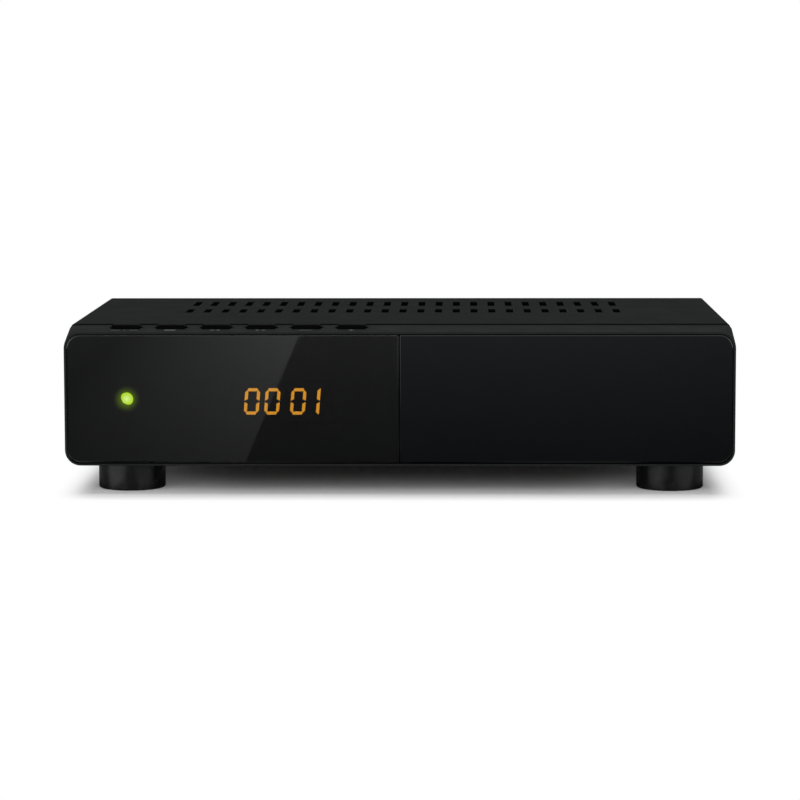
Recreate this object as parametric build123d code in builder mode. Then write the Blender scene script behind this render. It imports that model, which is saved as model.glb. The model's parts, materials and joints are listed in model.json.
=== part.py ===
from build123d import *
import os
from math import hypot, radians, sqrt, tan

os.makedirs("parts", exist_ok=True)

# A small satellite television receiver, in millimetres. The front faces -Y, +Z is up and +X is on the
# right of someone who faces it. The origin lies on the surface that the feet stand on, below the
# middle of the outline. A "depth" is a distance behind the front face.


# ---------------------------------------------------------------------------------------------------
# Driving dimensions
# ---------------------------------------------------------------------------------------------------

# Moulded fascia: a rounded front edge that runs back to the square outline of the sheet-metal cover
fascia_width = 168.0
fascia_height = 33.3
fascia_corner = 4.0
fascia_depth = 11.6
fascia_rise = 1.5  # the top is this much higher where it meets the cover
fascia_wall = 1.6
rim_width = 0.45  # edge that shows round the window and the flap
least_corner = 0.3  # of a hollow inside the fascia

# Sheet-metal case
case_width = 167.0
case_depth = 98.6
bend_radius = 1.0
steel = 0.8
tray_lip = 12.0
panel_inset = 0.6  # the rear panel stands this far inside the rear edge of the cover

# Clearances
joint_gap = 0.2  # between the fascia and the cover
panel_gap = 0.22  # round the window and the flap
seam_gap = 0.25  # between the window and the flap
sheet_gap = 0.15  # between sheets that slide over each other
key_gap = 0.15
hole_gap = 0.15  # round what passes through a sheet
thread_gap = 0.02
running_gap = 0.05

# Vent slots in the cover: two rows over the boards, and one in each side
vent_count = 25
vent_pitch = 4.73
vent_width = 1.87
front_row_length = 12.1
front_row_inset = 39.1  # from the rear edge of the cover to the rear end of the slots
rear_row_length = 14.9
rear_row_inset = 13.3
side_vent_count = 12
side_vent_pitch = 4.0
side_vent_width = 1.6
side_vent_height = 14.0
floor_vent_count = 20
floor_vent_pitch = 5.0
floor_vent_length = 14.0

# Feet
foot_height = 7.3
foot_radius = 8.5
foot_inset = 14.85  # from the side of the case to the middle of a foot
foot_setback = 15.0
foot_edge = 0.8
pad_radius = 6.6
pad_thickness = 1.6
pad_proud = 0.5
foot_web = 2.0
foot_cavity_radius = 5.0

# Display window and front flap
window_thickness = 2.0
edge_round = 0.3
flap_thickness = 2.8
flap_swing = 90.0
hinge_setback = 1.8  # hinge axis behind the front face
heel_height = 4.0  # flap below the hinge axis
heel_gap = 0.5
trough_gap = 0.2
ear_radius = 1.0
ear_width = 1.8
ear_gap = 0.25
hinge_pin_radius = 0.5
hinge_pin_length = 5.0
bay_depth = 7.6
bay_margin = 2.6
bay_corner = 2.0
ear_arm_half = 0.9

# Keys on top of the fascia
key_count = 6
first_key_x = -69.0
key_pitch = 11.38
key_depth = 7.5  # middle of the row
key_width = 7.0
key_length = 5.6
key_corner = 0.6
key_proud = 0.3  # above the cover
key_top_edge = 0.3
key_travel = 0.5
key_recess = 0.35
key_point_reach = 8.9  # across the pointed ends of the opening
key_point_length = 3.2
flange_width = 10.2
flange_length = 7.0
flange_thickness = 0.8
stem_width = 3.0
stem_length = 2.4
stem_height = 1.4

# Front board, with the switches, the display, the lamp and the receiver for the remote control
board_thickness = 1.6
front_board_depth = 9.4
front_board_side_gap = 1.4  # to the inside of the fascia
front_board_right = -3.5
front_board_bottom = 12.6
front_board_top = 36.4
front_boss_radius = 2.2
front_boss_inset = 4.0  # from the ends of the board
front_boss_middle_x = -50.0
front_boss_z = 16.0
switch_width = 6.0
switch_height = 3.6
plunger_radius = 1.0
plunger_rise = 1.8
plunger_hidden = 0.8

# Display with slanted seven-segment digits
display_x = -28.9
display_z = 23.4
module_width = 26.0
module_height = 10.4
digit_centres = [-36.96, -31.86, -25.37, -21.81]
digit_figures = ["0", "0", "0", "1"]
digit_width = 3.75
digit_height = 6.65
digit_slant = 4.5
segment_width = 0.78
segment_gap = 0.18  # from the middle of a digit to the points of its upright segments
segment_slope = 0.4  # drop of their slanted ends there
segment_clear = 0.07  # between a level and an upright segment
corner_slope = 0.6
corner_drop = 1.05
segment_relief = 0.1
led_x = -68.45
led_z = 24.0
led_radius = 1.5
infrared_x = -8.5
infrared_z = 24.0
infrared_radius = 2.4
infrared_length = 3.4
infrared_width = 5.2
infrared_height = 6.4
led_stand = 1.9
led_flange = 1.0
led_flange_radius = 1.9
led_lead = 0.5
led_lead_spread = 1.6
window_to_parts = 0.2  # from the back of the window to what shows through it

# Main board
standoff_height = 5.0
standoff_radius = 2.8
board_left_gap = 5.75  # from the board to the side of the tray
board_right_gap = 3.75
board_front_gap = 1.6
board_rear_gap = 1.2
board_fixing_inset = 5.0
board_front_fixing = 11.6  # from the front edge of the board
rear_fixing_gap = 1.4  # from the head of a screw to the wide socket beside it

# Screws
small_shank = 1.25
small_head = 2.4
large_shank = 1.5
large_head = 2.9
head_height = 1.3
cover_head_height = 0.45  # stays inside the width of the fascia
recess_share = 0.65  # of the cross in a head, across the head
recess_slot_share = 0.15
screw_end = 2.5  # what stands out beyond the sheet or into the boss that a screw holds in
cover_screw_front = 20.2  # from the front edge of the cover
cover_screw_rear = 14.6  # from its rear edge
rear_screw_inset = 4.05
lug_inset = 31.5
lug_width = 10.0
lug_reach = 9.0
lug_height = 3.6
lug_root = 3.0  # of a lug inside the fascia
lip_thickness = 1.2
lip_root = 1.0
lip_reach = 3.0
lip_inset = 8.5  # from the side of the case

# Sockets at the rear, from left to right as seen from the front
dc_x = -61.0
audio_x = -46.0
video_x = -31.0
euro_x = 8.0
aerial_x = 54.0
aerial_radius = 4.76  # outside of its thread, where it stands free
aerial_neck_radius = 4.5  # where the thread meets the one of the nut
aerial_reach = 11.0
aerial_rise = 7.3  # axis above the main board
tuner_width = 30.0
tuner_length = 34.0
tuner_height = 14.0
tin = 0.5
nut_across_flats = 11.0
nut_thickness = 2.2
aerial_flange_radius = 6.6
aerial_flange_length = 2.0
aerial_chamfer = 0.4
aerial_bore_radius = 3.4
aerial_bore_length = 6.0
aerial_contact_radius = 0.6
tuner_lid_skirt = 3.0
euro_width = 47.0
euro_height = 14.6
euro_length = 20.0
euro_nose_width = 44.6
euro_nose_height = 13.0
euro_flange_width = 58.0
euro_flange_thickness = 1.6
euro_screw_spread = 52.0
euro_nose_proud = 1.0
groove_width = 41.6
groove_height = 10.8
groove_slant = 3.0
groove_length = 9.0
core_width = 38.8
core_height = 8.0
slot_count = 10
slot_pitch = 3.6
slot_row_spread = 4.4
slot_width = 0.9
slot_height = 2.2
video_width = 15.0
video_height = 5.6
video_length = 12.0
video_taper_width = 2.0
video_taper_height = 1.6
video_tongue_width = 11.2
video_tongue_thickness = 1.2
shell_wall = 0.4
tongue_setback = 1.5
audio_width = 10.0
audio_height = 12.4
audio_length = 11.0
audio_collar_radius = 5.0
audio_barrel_radius = 4.15
audio_barrel_reach = 9.0
audio_core_radius = 3.3
audio_core_setback = 0.5
audio_hole_radius = 1.6
dc_width = 9.0
dc_height = 11.0
dc_length = 14.0
dc_nose_radius = 4.2
dc_hole_radius = 2.9
dc_hole_length = 10.0
dc_pin_radius = 1.0
socket_proud = 0.4

# Data socket behind the flap
data_x = 42.0
data_width = 13.2
data_height = 6.0
data_length = 14.4
data_mouth_inset = 0.4  # behind the face of the wall that it opens through
data_tongue_width = 11.0
data_tongue_thickness = 1.8
data_tongue_offset = 0.4

# Parts on the main board. A "setback" is a distance in front of the rear panel.
chip_x = -4.0
chip_setback = 45.2
chip_size = 17.0
chip_height = 1.8
thermal_pad_thickness = 0.5
heatsink_size = 24.0
heatsink_base = 1.8
heatsink_height = 9.0
fin_count = 7
fin_thickness = 1.2
ribbon_x = -34.0
ribbon_width = 15.0
ribbon_thickness = 1.0
header_end = 1.5
header_height = 5.2
header_length = 5.4
ribbon_reach = 18.0  # from the front board to the middle of the header on the main board
ribbon_bend_share = 0.45  # radius of its bend, of its drop to the main board
ribbon_rise = 12.4  # of the front header above the main board
memory_x = 18.0
memory_setbacks = [51.2, 37.2]
memory_width = 11.0
memory_length = 8.0
memory_height = 1.2
capacitor_places = [  # X, setback, radius and height
    (-64.0, 25.2, 5.0, 12.5), (-51.0, 23.2, 4.0, 11.0), (-64.0, 39.2, 4.0, 11.0),
    (-38.0, 21.2, 3.2, 8.0), (34.0, 31.2, 4.0, 11.0), (60.0, 47.2, 3.2, 8.0),
]
capacitor_edge = 0.4
inductor_places = [(-52.0, 39.2), (-40.0, 37.2), (-26.0, 27.2)]  # X and setback
inductor_size = 7.0
inductor_height = 3.6
inductor_corner = 1.2
crystal_x = 0.0
crystal_setback = 26.2
crystal_length = 11.0
crystal_width = 4.6
crystal_height = 3.6


# ---------------------------------------------------------------------------------------------------
# Levels and places that follow from them
# ---------------------------------------------------------------------------------------------------

case_bottom = foot_height
front_top = case_bottom + fascia_height
cover_top = front_top + fascia_rise
cover_front = fascia_depth + joint_gap
panel_face = case_depth - panel_inset
panel_inner = panel_face - steel
aerial_end = panel_face + aerial_reach
front_y = -aerial_end / 2

tray_width = case_width - 2 * (steel + sheet_gap)
floor_top = case_bottom + steel
board_bottom = floor_top + standoff_height
board_top = board_bottom + board_thickness
main_board_left = -(tray_width / 2 - steel - board_left_gap)
main_board_right = tray_width / 2 - steel - board_right_gap
main_board_front = cover_front + board_front_gap
main_board_rear = panel_inner - board_rear_gap

plate_bottom = case_bottom + rim_width + panel_gap
plate_top = front_top - rim_width - panel_gap
plate_edge = fascia_width / 2 - rim_width - panel_gap
plate_corner = fascia_corner - rim_width - panel_gap

front_wall_back = window_thickness + fascia_wall
bay_wall_back = bay_depth + fascia_wall
flap_bottom = case_bottom + rim_width + heel_gap
hinge_z = flap_bottom + heel_height
toe_reach = hypot(hinge_setback - edge_round, heel_height - edge_round) + edge_round
trough_radius = toe_reach + trough_gap
bay_left = -seam_gap / 2 + running_gap
pocket_edge = fascia_width / 2 - rim_width
flap_left = seam_gap / 2
flap_right = plate_edge

key_places = [first_key_x + number * key_pitch for number in range(key_count)]
front_board_back = front_board_depth + board_thickness
data_mouth_depth = bay_depth + data_mouth_inset
front_row_start = case_depth - front_row_inset - front_row_length
rear_row_start = case_depth - rear_row_inset - rear_row_length


def depth_y(depth):
    """Y of a point at this depth behind the front face."""
    return front_y + depth


def front_view(depth):
    """Sketch plane at this depth, seen from the front: x is X and y is Z, and a negative extrusion
    goes towards the rear."""
    return Plane(origin=(0, depth_y(depth), 0), x_dir=(1, 0, 0), z_dir=(0, -1, 0))


def fascia_top(depth):
    """Height of the top of the fascia, which slopes up from the front edge to the cover."""
    return front_top + fascia_rise * depth / fascia_depth


def fascia_side(depth):
    """X of the side of the fascia, which tapers from the front edge to the cover."""
    return (fascia_width + (case_width - fascia_width) * depth / fascia_depth) / 2


def fascia_outline(depth, inset=0.0):
    """Rounded outline of the fascia at a depth. It changes evenly from the front edge to the cover."""
    share = depth / fascia_depth
    width = 2 * (fascia_side(depth) - inset)
    height = fascia_height + share * fascia_rise - 2 * inset
    corner = max(fascia_corner + share * (bend_radius - fascia_corner) - inset, least_corner)
    with Locations((0, case_bottom + inset + height / 2)):
        RectangleRounded(width, height, corner)


def block(left, right, front, rear, bottom, top, mode=Mode.ADD):
    """Box between two values of X, two depths and two heights."""
    with Locations(((left + right) / 2, depth_y((front + rear) / 2), (bottom + top) / 2)):
        Box(right - left, rear - front, top - bottom, mode=mode)


def rod(x, z, radius, front, rear, mode=Mode.ADD):
    """Round bar from the front to the rear, between two depths."""
    with Locations((x, depth_y((front + rear) / 2), z)):
        Cylinder(radius, rear - front, rotation=(90, 0, 0), mode=mode)


def post(x, depth, radius, bottom, top, mode=Mode.ADD):
    """Upright round bar between two heights."""
    with Locations((x, depth_y(depth), (bottom + top) / 2)):
        Cylinder(radius, top - bottom, mode=mode)


def screws(planes, head, height, shank, shank_length):
    """Cross-headed screws: on each plane the head stands out and the shank goes in."""
    recess_length = recess_share * 2 * head
    recess_width = recess_slot_share * 2 * head
    with BuildPart() as group:
        for plane in planes:
            with BuildSketch(plane):
                Circle(head)
            extrude(amount=height)
            with BuildSketch(plane.offset(height)):
                Rectangle(recess_length, recess_width)
                Rectangle(recess_width, recess_length)
            extrude(amount=-height / 2, mode=Mode.SUBTRACT)
            with BuildSketch(plane):
                Circle(shank)
            extrude(amount=-shank_length)
    return group


def save(builder, name):
    """Labels a finished piece and writes it to its own file."""
    builder.part.label = name
    export_step(builder.part, f"parts/{name}.step")


# ---------------------------------------------------------------------------------------------------
# Places of the fixings, which several pieces share
# ---------------------------------------------------------------------------------------------------

foot_x = case_width / 2 - foot_inset
foot_depths = [foot_setback, case_depth - foot_setback]
foot_places = [(side * foot_x, depth) for side in (-1, 1) for depth in foot_depths]

# The main board is held near its front corners, and at the rear beside the socket that takes most force
front_fixing_depth = main_board_front + board_front_fixing
rear_fixing_depth = main_board_rear - board_fixing_inset
rear_fixing_reach = euro_width / 2 + rear_fixing_gap + small_head
fixing_places = [
    (main_board_left + board_fixing_inset, front_fixing_depth),
    (main_board_right - board_fixing_inset, front_fixing_depth),
    (euro_x - rear_fixing_reach, rear_fixing_depth),
    (euro_x + rear_fixing_reach, rear_fixing_depth),
]

front_board_left = front_board_side_gap + fascia_wall - fascia_side(front_board_back)
front_boss_places = [
    (x, front_boss_z)
    for x in (
        front_board_left + front_boss_inset, front_boss_middle_x, front_board_right - front_boss_inset,
    )
]

case_screw_z = floor_top + standoff_height / 2
cover_screw_depths = [cover_front + cover_screw_front, case_depth - cover_screw_rear]
rear_screw_x = tray_width / 2 - rear_screw_inset
lug_x = case_width / 2 - lug_inset
lip_half = case_width / 2 - lip_inset
side_vent_z = (floor_top + tray_lip + cover_top) / 2
lug_screw_depth = fascia_depth + lug_reach / 2


# ---------------------------------------------------------------------------------------------------
# Case
# ---------------------------------------------------------------------------------------------------

# Top cover: one sheet bent into a U that slides over the tray
with BuildPart() as top_cover:
    with BuildSketch(front_view(cover_front)):
        with Locations((0, (case_bottom + cover_top) / 2)):
            Rectangle(case_width, cover_top - case_bottom)
        fillet(vertices().group_by(Axis.Y)[-1], bend_radius)
        with Locations((0, (case_bottom + cover_top - steel) / 2)):
            Rectangle(case_width - 2 * steel, cover_top - steel - case_bottom, mode=Mode.SUBTRACT)
    extrude(amount=cover_front - case_depth)
    for start, length in ((front_row_start, front_row_length), (rear_row_start, rear_row_length)):
        with BuildSketch(Plane.XY.offset(cover_top)):
            with Locations((0, depth_y(start + length / 2))):
                with GridLocations(vent_pitch, 0, vent_count, 1):
                    Rectangle(vent_width, length)
        extrude(amount=-steel, mode=Mode.SUBTRACT)
    with BuildSketch(Plane.YZ.offset(-case_width / 2)):
        with Locations((depth_y((cover_front + case_depth) / 2), side_vent_z)):
            with GridLocations(side_vent_pitch, 0, side_vent_count, 1):
                Rectangle(side_vent_width, side_vent_height)
    extrude(amount=case_width, mode=Mode.SUBTRACT)
    with BuildSketch(Plane.YZ.offset(-case_width / 2)):
        for depth in cover_screw_depths:
            with Locations((depth_y(depth), case_screw_z)):
                Circle(large_shank + hole_gap)
    extrude(amount=case_width, mode=Mode.SUBTRACT)
save(top_cover, "top_cover")

# Base tray: a shallow channel with folded lips, and drawn bosses that carry the main board
tray_front = cover_front
tray_rear = panel_inner
vent_field_width = (floor_vent_count - 1) * floor_vent_pitch
with BuildPart() as base_tray:
    with BuildSketch(front_view(tray_front)):
        with Locations((0, case_bottom + (steel + tray_lip) / 2)):
            Rectangle(tray_width, steel + tray_lip)
        fillet(vertices().group_by(Axis.Y)[0], bend_radius)
        with Locations((0, floor_top + tray_lip / 2)):
            Rectangle(tray_width - 2 * steel, tray_lip, mode=Mode.SUBTRACT)
    extrude(amount=tray_front - tray_rear)
    block(
        steel - tray_width / 2, tray_width / 2 - steel, tray_rear - steel, tray_rear, floor_top,
        board_bottom,
    )
    for x, depth in fixing_places:
        post(x, depth, standoff_radius, floor_top, board_bottom)
    with BuildSketch(Plane.XY.offset(case_bottom)):
        for x, depth in foot_places:
            with Locations((x, depth_y(depth))):
                Circle(large_shank + thread_gap)
        for side in (-1, 1):
            with Locations((side * lug_x, depth_y(lug_screw_depth))):
                Circle(large_shank + hole_gap)
        with Locations((0, depth_y(front_row_start)), (0, depth_y(rear_row_start))):
            with GridLocations(floor_vent_pitch, 0, floor_vent_count, 1):
                Rectangle(vent_width, floor_vent_length)
    extrude(amount=steel, mode=Mode.SUBTRACT)
    for x, depth in fixing_places:
        post(x, depth, small_shank + thread_gap, case_bottom, board_bottom, mode=Mode.SUBTRACT)
    with BuildSketch(Plane.YZ.offset(-tray_width / 2)):
        for depth in cover_screw_depths:
            with Locations((depth_y(depth), case_screw_z)):
                Circle(large_shank + thread_gap)
    extrude(amount=tray_width, mode=Mode.SUBTRACT)
    for side in (-1, 1):
        rod(
            side * rear_screw_x, case_screw_z, large_shank + thread_gap, tray_rear - steel, tray_rear,
            mode=Mode.SUBTRACT,
        )
save(base_tray, "base_tray")

# Rear panel, cut out for the sockets
audio_z = board_top + audio_height / 2
dc_z = board_top + dc_height / 2
video_z = board_top + video_height / 2
euro_z = board_top + euro_height / 2
aerial_z = board_top + aerial_rise
panel_top = cover_top - steel - sheet_gap
with BuildPart() as rear_panel:
    with BuildSketch(front_view(panel_inner)):
        with Locations((0, (case_bottom + panel_top) / 2)):
            Rectangle(tray_width, panel_top - case_bottom)
        with Locations((aerial_x, aerial_z)):
            Circle(aerial_radius + hole_gap, mode=Mode.SUBTRACT)
        with Locations((audio_x, audio_z)):
            Circle(audio_collar_radius + hole_gap, mode=Mode.SUBTRACT)
        with Locations((dc_x, dc_z)):
            Circle(dc_nose_radius + hole_gap, mode=Mode.SUBTRACT)
        with Locations((video_x, video_z)):
            Rectangle(video_width + 2 * hole_gap, video_height + 2 * hole_gap, mode=Mode.SUBTRACT)
        with Locations((euro_x, euro_z)):
            Rectangle(
                euro_nose_width + 2 * hole_gap, euro_nose_height + 2 * hole_gap, mode=Mode.SUBTRACT
            )
            with GridLocations(euro_screw_spread, 0, 2, 1):
                Circle(large_shank + hole_gap, mode=Mode.SUBTRACT)
        with Locations((0, case_screw_z)):
            with GridLocations(2 * rear_screw_x, 0, 2, 1):
                Circle(large_shank + hole_gap, mode=Mode.SUBTRACT)
    extrude(amount=-steel)
save(rear_panel, "rear_panel")


# ---------------------------------------------------------------------------------------------------
# Fascia
# ---------------------------------------------------------------------------------------------------

key_under = fascia_top(key_depth - flange_length / 2) - fascia_wall - key_gap
key_plate_top = fascia_top(key_depth - key_length / 2) - key_recess
key_top = cover_top + key_proud


def key_outline(gap):
    """Outline of a key and of its opening: a rectangle with a point at each end."""
    half_width = key_width / 2 + key_gap - gap
    half_point = key_point_length / 2 - gap
    reach = key_point_reach / 2 - gap
    Rectangle(2 * half_width, key_length + 2 * (key_gap - gap))
    Polygon(
        (-reach, 0), (-half_width, half_point), (half_width, half_point),
        (reach, 0), (half_width, -half_point), (-half_width, -half_point),
    )


def left_of(x):
    """Takes away all of a front outline that lies left of this X."""
    with Locations((x, 0)):
        Rectangle(fascia_width, 2 * cover_top, align=(Align.MAX, Align.CENTER), mode=Mode.SUBTRACT)


lip_top = cover_top - steel - sheet_gap
pocket_width = ear_width + 2 * ear_gap  # room for an ear in each end of the flap
ear_places = [flap_left + ear_gap, flap_right - ear_gap - ear_width]

# The trough lets the heel of the flap swing in below the bay. It is turned about the hinge axis, and
# follows the rounded corner of the flap at its outer end.
corner_start = plate_edge - plate_corner
corner_middle = corner_start + plate_corner / sqrt(2)
heel_at_end = heel_height - plate_corner
heel_at_middle = heel_at_end + plate_corner / sqrt(2)
trough_middle = hypot(hinge_setback, heel_at_middle) + trough_gap / 2
trough_end = hypot(hinge_setback, heel_at_end) + trough_gap / 2

with BuildPart() as fascia_frame:
    with BuildSketch(front_view(0)):
        fascia_outline(0)
    with BuildSketch(front_view(fascia_depth)):
        fascia_outline(fascia_depth)
    loft(ruled=True)
    fillet(edges().group_by(Axis.Y)[0], edge_round)
    # Hollow from behind, then the walls round the bay of the flap
    with BuildSketch(front_view(front_wall_back)):
        fascia_outline(front_wall_back, fascia_wall)
    with BuildSketch(front_view(fascia_depth)):
        fascia_outline(fascia_depth, fascia_wall)
    loft(ruled=True, mode=Mode.SUBTRACT)
    for depth in (front_wall_back, bay_wall_back):
        with BuildSketch(front_view(depth)):
            fascia_outline(depth, fascia_wall / 2)
            left_of(bay_left - fascia_wall)
    loft(ruled=True)
    # Seat of the window and the flap, the deeper half for the flap, and the bay behind it
    with BuildSketch(front_view(0)):
        fascia_outline(0, rim_width)
    extrude(amount=-window_thickness, mode=Mode.SUBTRACT)
    with BuildSketch(front_view(0)):
        fascia_outline(0, rim_width)
        left_of(bay_left)
    extrude(amount=-(flap_thickness + running_gap), mode=Mode.SUBTRACT)
    bay_top = front_top - bay_margin
    with BuildSketch(front_view(0)):
        with Locations(((flap_left + flap_right) / 2, (hinge_z + bay_top) / 2)):
            Rectangle(
                flap_right - flap_left - 2 * (pocket_width - trough_gap), bay_top - hinge_z
            )
        fillet(vertices().group_by(Axis.Y)[-1], bay_corner)
    extrude(amount=-bay_depth, mode=Mode.SUBTRACT)
    with BuildSketch(Plane(origin=(0, depth_y(hinge_setback), hinge_z), x_dir=(1, 0, 0), z_dir=(0, -1, 0))):
        with BuildLine():
            Line((bay_left, 0), (bay_left, -trough_radius))
            Line((bay_left, -trough_radius), (corner_start, -trough_radius))
            ThreePointArc(
                (corner_start, -trough_radius), (corner_middle, -trough_middle), (pocket_edge, -trough_end)
            )
            Line((pocket_edge, -trough_end), (pocket_edge, 0))
            Line((pocket_edge, 0), (bay_left, 0))
        make_face()
    revolve(
        axis=Axis((0, depth_y(hinge_setback), hinge_z), (1, 0, 0)), revolution_arc=flap_swing,
        mode=Mode.SUBTRACT,
    )
    # Ears that hold the hinge pins
    for ear_left in ear_places:
        with Locations((ear_left + ear_width / 2, depth_y(hinge_setback), hinge_z)):
            Cylinder(ear_radius, ear_width, rotation=(0, 90, 0))
        block(
            ear_left, ear_left + ear_width, hinge_setback, bay_wall_back, hinge_z - ear_arm_half,
            hinge_z + ear_arm_half,
        )
        with Locations((ear_left + ear_width / 2, depth_y(hinge_setback), hinge_z)):
            Cylinder(hinge_pin_radius + thread_gap, ear_width, rotation=(0, 90, 0), mode=Mode.SUBTRACT)
    # Lugs over the floor of the tray, lip under the cover, and bosses for the front board
    for side in (-1, 1):
        block(
            side * lug_x - lug_width / 2, side * lug_x + lug_width / 2, fascia_depth - lug_root,
            fascia_depth + lug_reach, floor_top, floor_top + lug_height,
        )
        post(
            side * lug_x, lug_screw_depth, large_shank + thread_gap, floor_top, floor_top + lug_height,
            mode=Mode.SUBTRACT,
        )
    block(
        -lip_half, lip_half, fascia_depth - lip_root, fascia_depth + lip_reach,
        lip_top - lip_thickness, lip_top,
    )
    for x, z in front_boss_places:
        rod(x, z, front_boss_radius, front_wall_back, front_board_depth)
        rod(
            x, z, small_shank + thread_gap, front_wall_back + fascia_wall, front_board_depth,
            mode=Mode.SUBTRACT,
        )
    # Openings for the keys, the display, the lamp, the remote-control receiver and the data socket
    with BuildSketch(Plane.XY.offset(cover_top)):
        for x in key_places:
            with Locations((x, depth_y(key_depth))):
                key_outline(0)
    extrude(amount=key_under - cover_top, mode=Mode.SUBTRACT)
    with BuildSketch(front_view(window_thickness)):
        with Locations((display_x, display_z)):
            Rectangle(module_width + 2 * hole_gap, module_height + 2 * hole_gap)
        with Locations((led_x, led_z)):
            Circle(led_radius + hole_gap)
        with Locations((infrared_x, infrared_z)):
            Circle(infrared_radius + hole_gap)
    extrude(amount=window_thickness - front_wall_back, mode=Mode.SUBTRACT)
    with BuildSketch(front_view(bay_depth)):
        with Locations((data_x, board_top + data_height / 2)):
            Rectangle(data_width + 2 * hole_gap, data_height + 2 * hole_gap)
    extrude(amount=bay_depth - bay_wall_back, mode=Mode.SUBTRACT)
save(fascia_frame, "fascia_frame")

# Smoked window over the display
with BuildPart() as display_window:
    with BuildSketch(front_view(0)):
        with Locations((-(plate_edge + seam_gap / 2) / 2, (plate_bottom + plate_top) / 2)):
            Rectangle(plate_edge - seam_gap / 2, plate_top - plate_bottom)
        fillet(vertices().group_by(Axis.X)[0], plate_corner)
    extrude(amount=-window_thickness)
    fillet(edges().group_by(Axis.Y)[0], edge_round)
save(display_window, "display_window")

# Flap that turns on two pins near its lower edge. Its heel swings in below the bay as it opens, and a
# thin skin hides the ears of the fascia.
skin = hinge_setback - ear_radius - trough_gap
pin_reach = hinge_pin_length - ear_width - ear_gap
with BuildPart() as front_flap:
    with BuildSketch(front_view(0)):
        with Locations(((flap_left + flap_right) / 2, (flap_bottom + plate_top) / 2)):
            Rectangle(flap_right - flap_left, plate_top - flap_bottom)
        fillet(vertices().group_by(Axis.X)[-1], plate_corner)
    extrude(amount=-flap_thickness)
    fillet(edges().group_by(Axis.Y)[0], edge_round)
    for left in (flap_left, flap_right - pocket_width):
        block(
            left, left + pocket_width, skin, flap_thickness, flap_bottom,
            hinge_z + ear_radius + trough_gap, mode=Mode.SUBTRACT,
        )
    for start in (flap_left + pocket_width, flap_right - pocket_width - pin_reach - ear_gap):
        with Locations((start + (pin_reach + ear_gap) / 2, depth_y(hinge_setback), hinge_z)):
            Cylinder(
                hinge_pin_radius + running_gap, pin_reach + ear_gap, rotation=(0, 90, 0),
                mode=Mode.SUBTRACT,
            )
save(front_flap, "front_flap")

# Steel pins, pressed into the ears
with BuildPart() as flap_hinge_pins:
    for middle in (ear_places[0] + hinge_pin_length / 2, ear_places[1] + ear_width - hinge_pin_length / 2):
        with Locations((middle, depth_y(hinge_setback), hinge_z)):
            Cylinder(hinge_pin_radius, hinge_pin_length, rotation=(0, 90, 0))
save(flap_hinge_pins, "flap_hinge_pins")


# ---------------------------------------------------------------------------------------------------
# Keys and the switches under them
# ---------------------------------------------------------------------------------------------------

stem_bottom = key_under - flange_thickness - stem_height
switch_top = stem_bottom - plunger_rise
switch_length = 2 * (front_board_depth - key_depth)


def make_key(x):
    """Key cap: a raised pad on a pointed plate, a flange that keeps it in, and a stem."""
    with BuildPart() as key:
        with BuildSketch(Plane.XY.offset(key_under)):
            with Locations((x, depth_y(key_depth))):
                key_outline(key_gap)
        extrude(amount=key_plate_top - key_under)
        with BuildSketch(Plane.XY.offset(key_plate_top)):
            with Locations((x, depth_y(key_depth))):
                RectangleRounded(key_width, key_length, key_corner)
        extrude(amount=key_top - key_plate_top)
        chamfer(edges().group_by(Axis.Z)[-1], key_top_edge)
        with Locations((x, depth_y(key_depth), key_under - flange_thickness / 2)):
            Box(flange_width, flange_length, flange_thickness)
        with Locations((x, depth_y(key_depth), stem_bottom + stem_height / 2)):
            Box(stem_width, stem_length, stem_height)
    return key


def make_plunger(x):
    """Plunger of a switch, which its key pushes down."""
    with BuildPart() as plunger:
        post(x, key_depth, plunger_radius, switch_top - plunger_hidden, stem_bottom)
    return plunger


for number, key_x in enumerate(key_places, start=1):
    save(make_key(key_x), f"key_{number}")
    save(make_plunger(key_x), f"switch_plunger_{number}")

with BuildPart() as key_switches:
    for key_x in key_places:
        block(
            key_x - switch_width / 2, key_x + switch_width / 2, key_depth - switch_length / 2,
            front_board_depth, switch_top - switch_height, switch_top,
        )
        post(
            key_x, key_depth, plunger_radius + key_gap,
            switch_top - plunger_hidden - 2 * key_travel, switch_top, mode=Mode.SUBTRACT,
        )
save(key_switches, "key_switches")


# ---------------------------------------------------------------------------------------------------
# Front board and what it carries
# ---------------------------------------------------------------------------------------------------

with BuildPart() as front_board:
    block(
        front_board_left, front_board_right, front_board_depth, front_board_back, front_board_bottom,
        front_board_top,
    )
    for x, z in front_boss_places:
        rod(
            x, z, small_shank + hole_gap, front_board_depth, front_board_back, mode=Mode.SUBTRACT,
        )
save(front_board, "front_board")

module_front = window_thickness + window_to_parts
with BuildPart() as display_module:
    block(
        display_x - module_width / 2, display_x + module_width / 2, module_front, front_board_depth,
        display_z - module_height / 2, display_z + module_height / 2,
    )
save(display_module, "display_module")

# Lit segments. In a figure with level segments at its top and bottom, the outer corners are cut off.
half_digit = digit_width / 2
digit_top = digit_height / 2


def level_segment():
    """Corners of the level segment at the top of a digit, about the middle of the digit."""
    right_half = [
        (half_digit - segment_width, digit_top),
        (half_digit - segment_width / 2 - segment_clear, digit_top - corner_slope),
        (half_digit - segment_width - segment_clear, digit_top - segment_width),
    ]
    return right_half + [(-x, z) for x, z in reversed(right_half)]


def upright_segment(cut_corner):
    """Corners of the upper right segment of a digit, about the middle of the digit."""
    outer = half_digit
    inner = half_digit - segment_width
    middle_end = [(inner, segment_gap + segment_slope), (outer, segment_gap)]
    if cut_corner:
        top_end = [
            (outer, digit_top - corner_drop),
            (outer - segment_width / 2, digit_top - corner_slope),
            (inner, digit_top - segment_width - segment_clear),
        ]
    else:
        top_end = [(outer, digit_top), (inner, digit_top - corner_slope)]
    return middle_end + top_end


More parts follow.
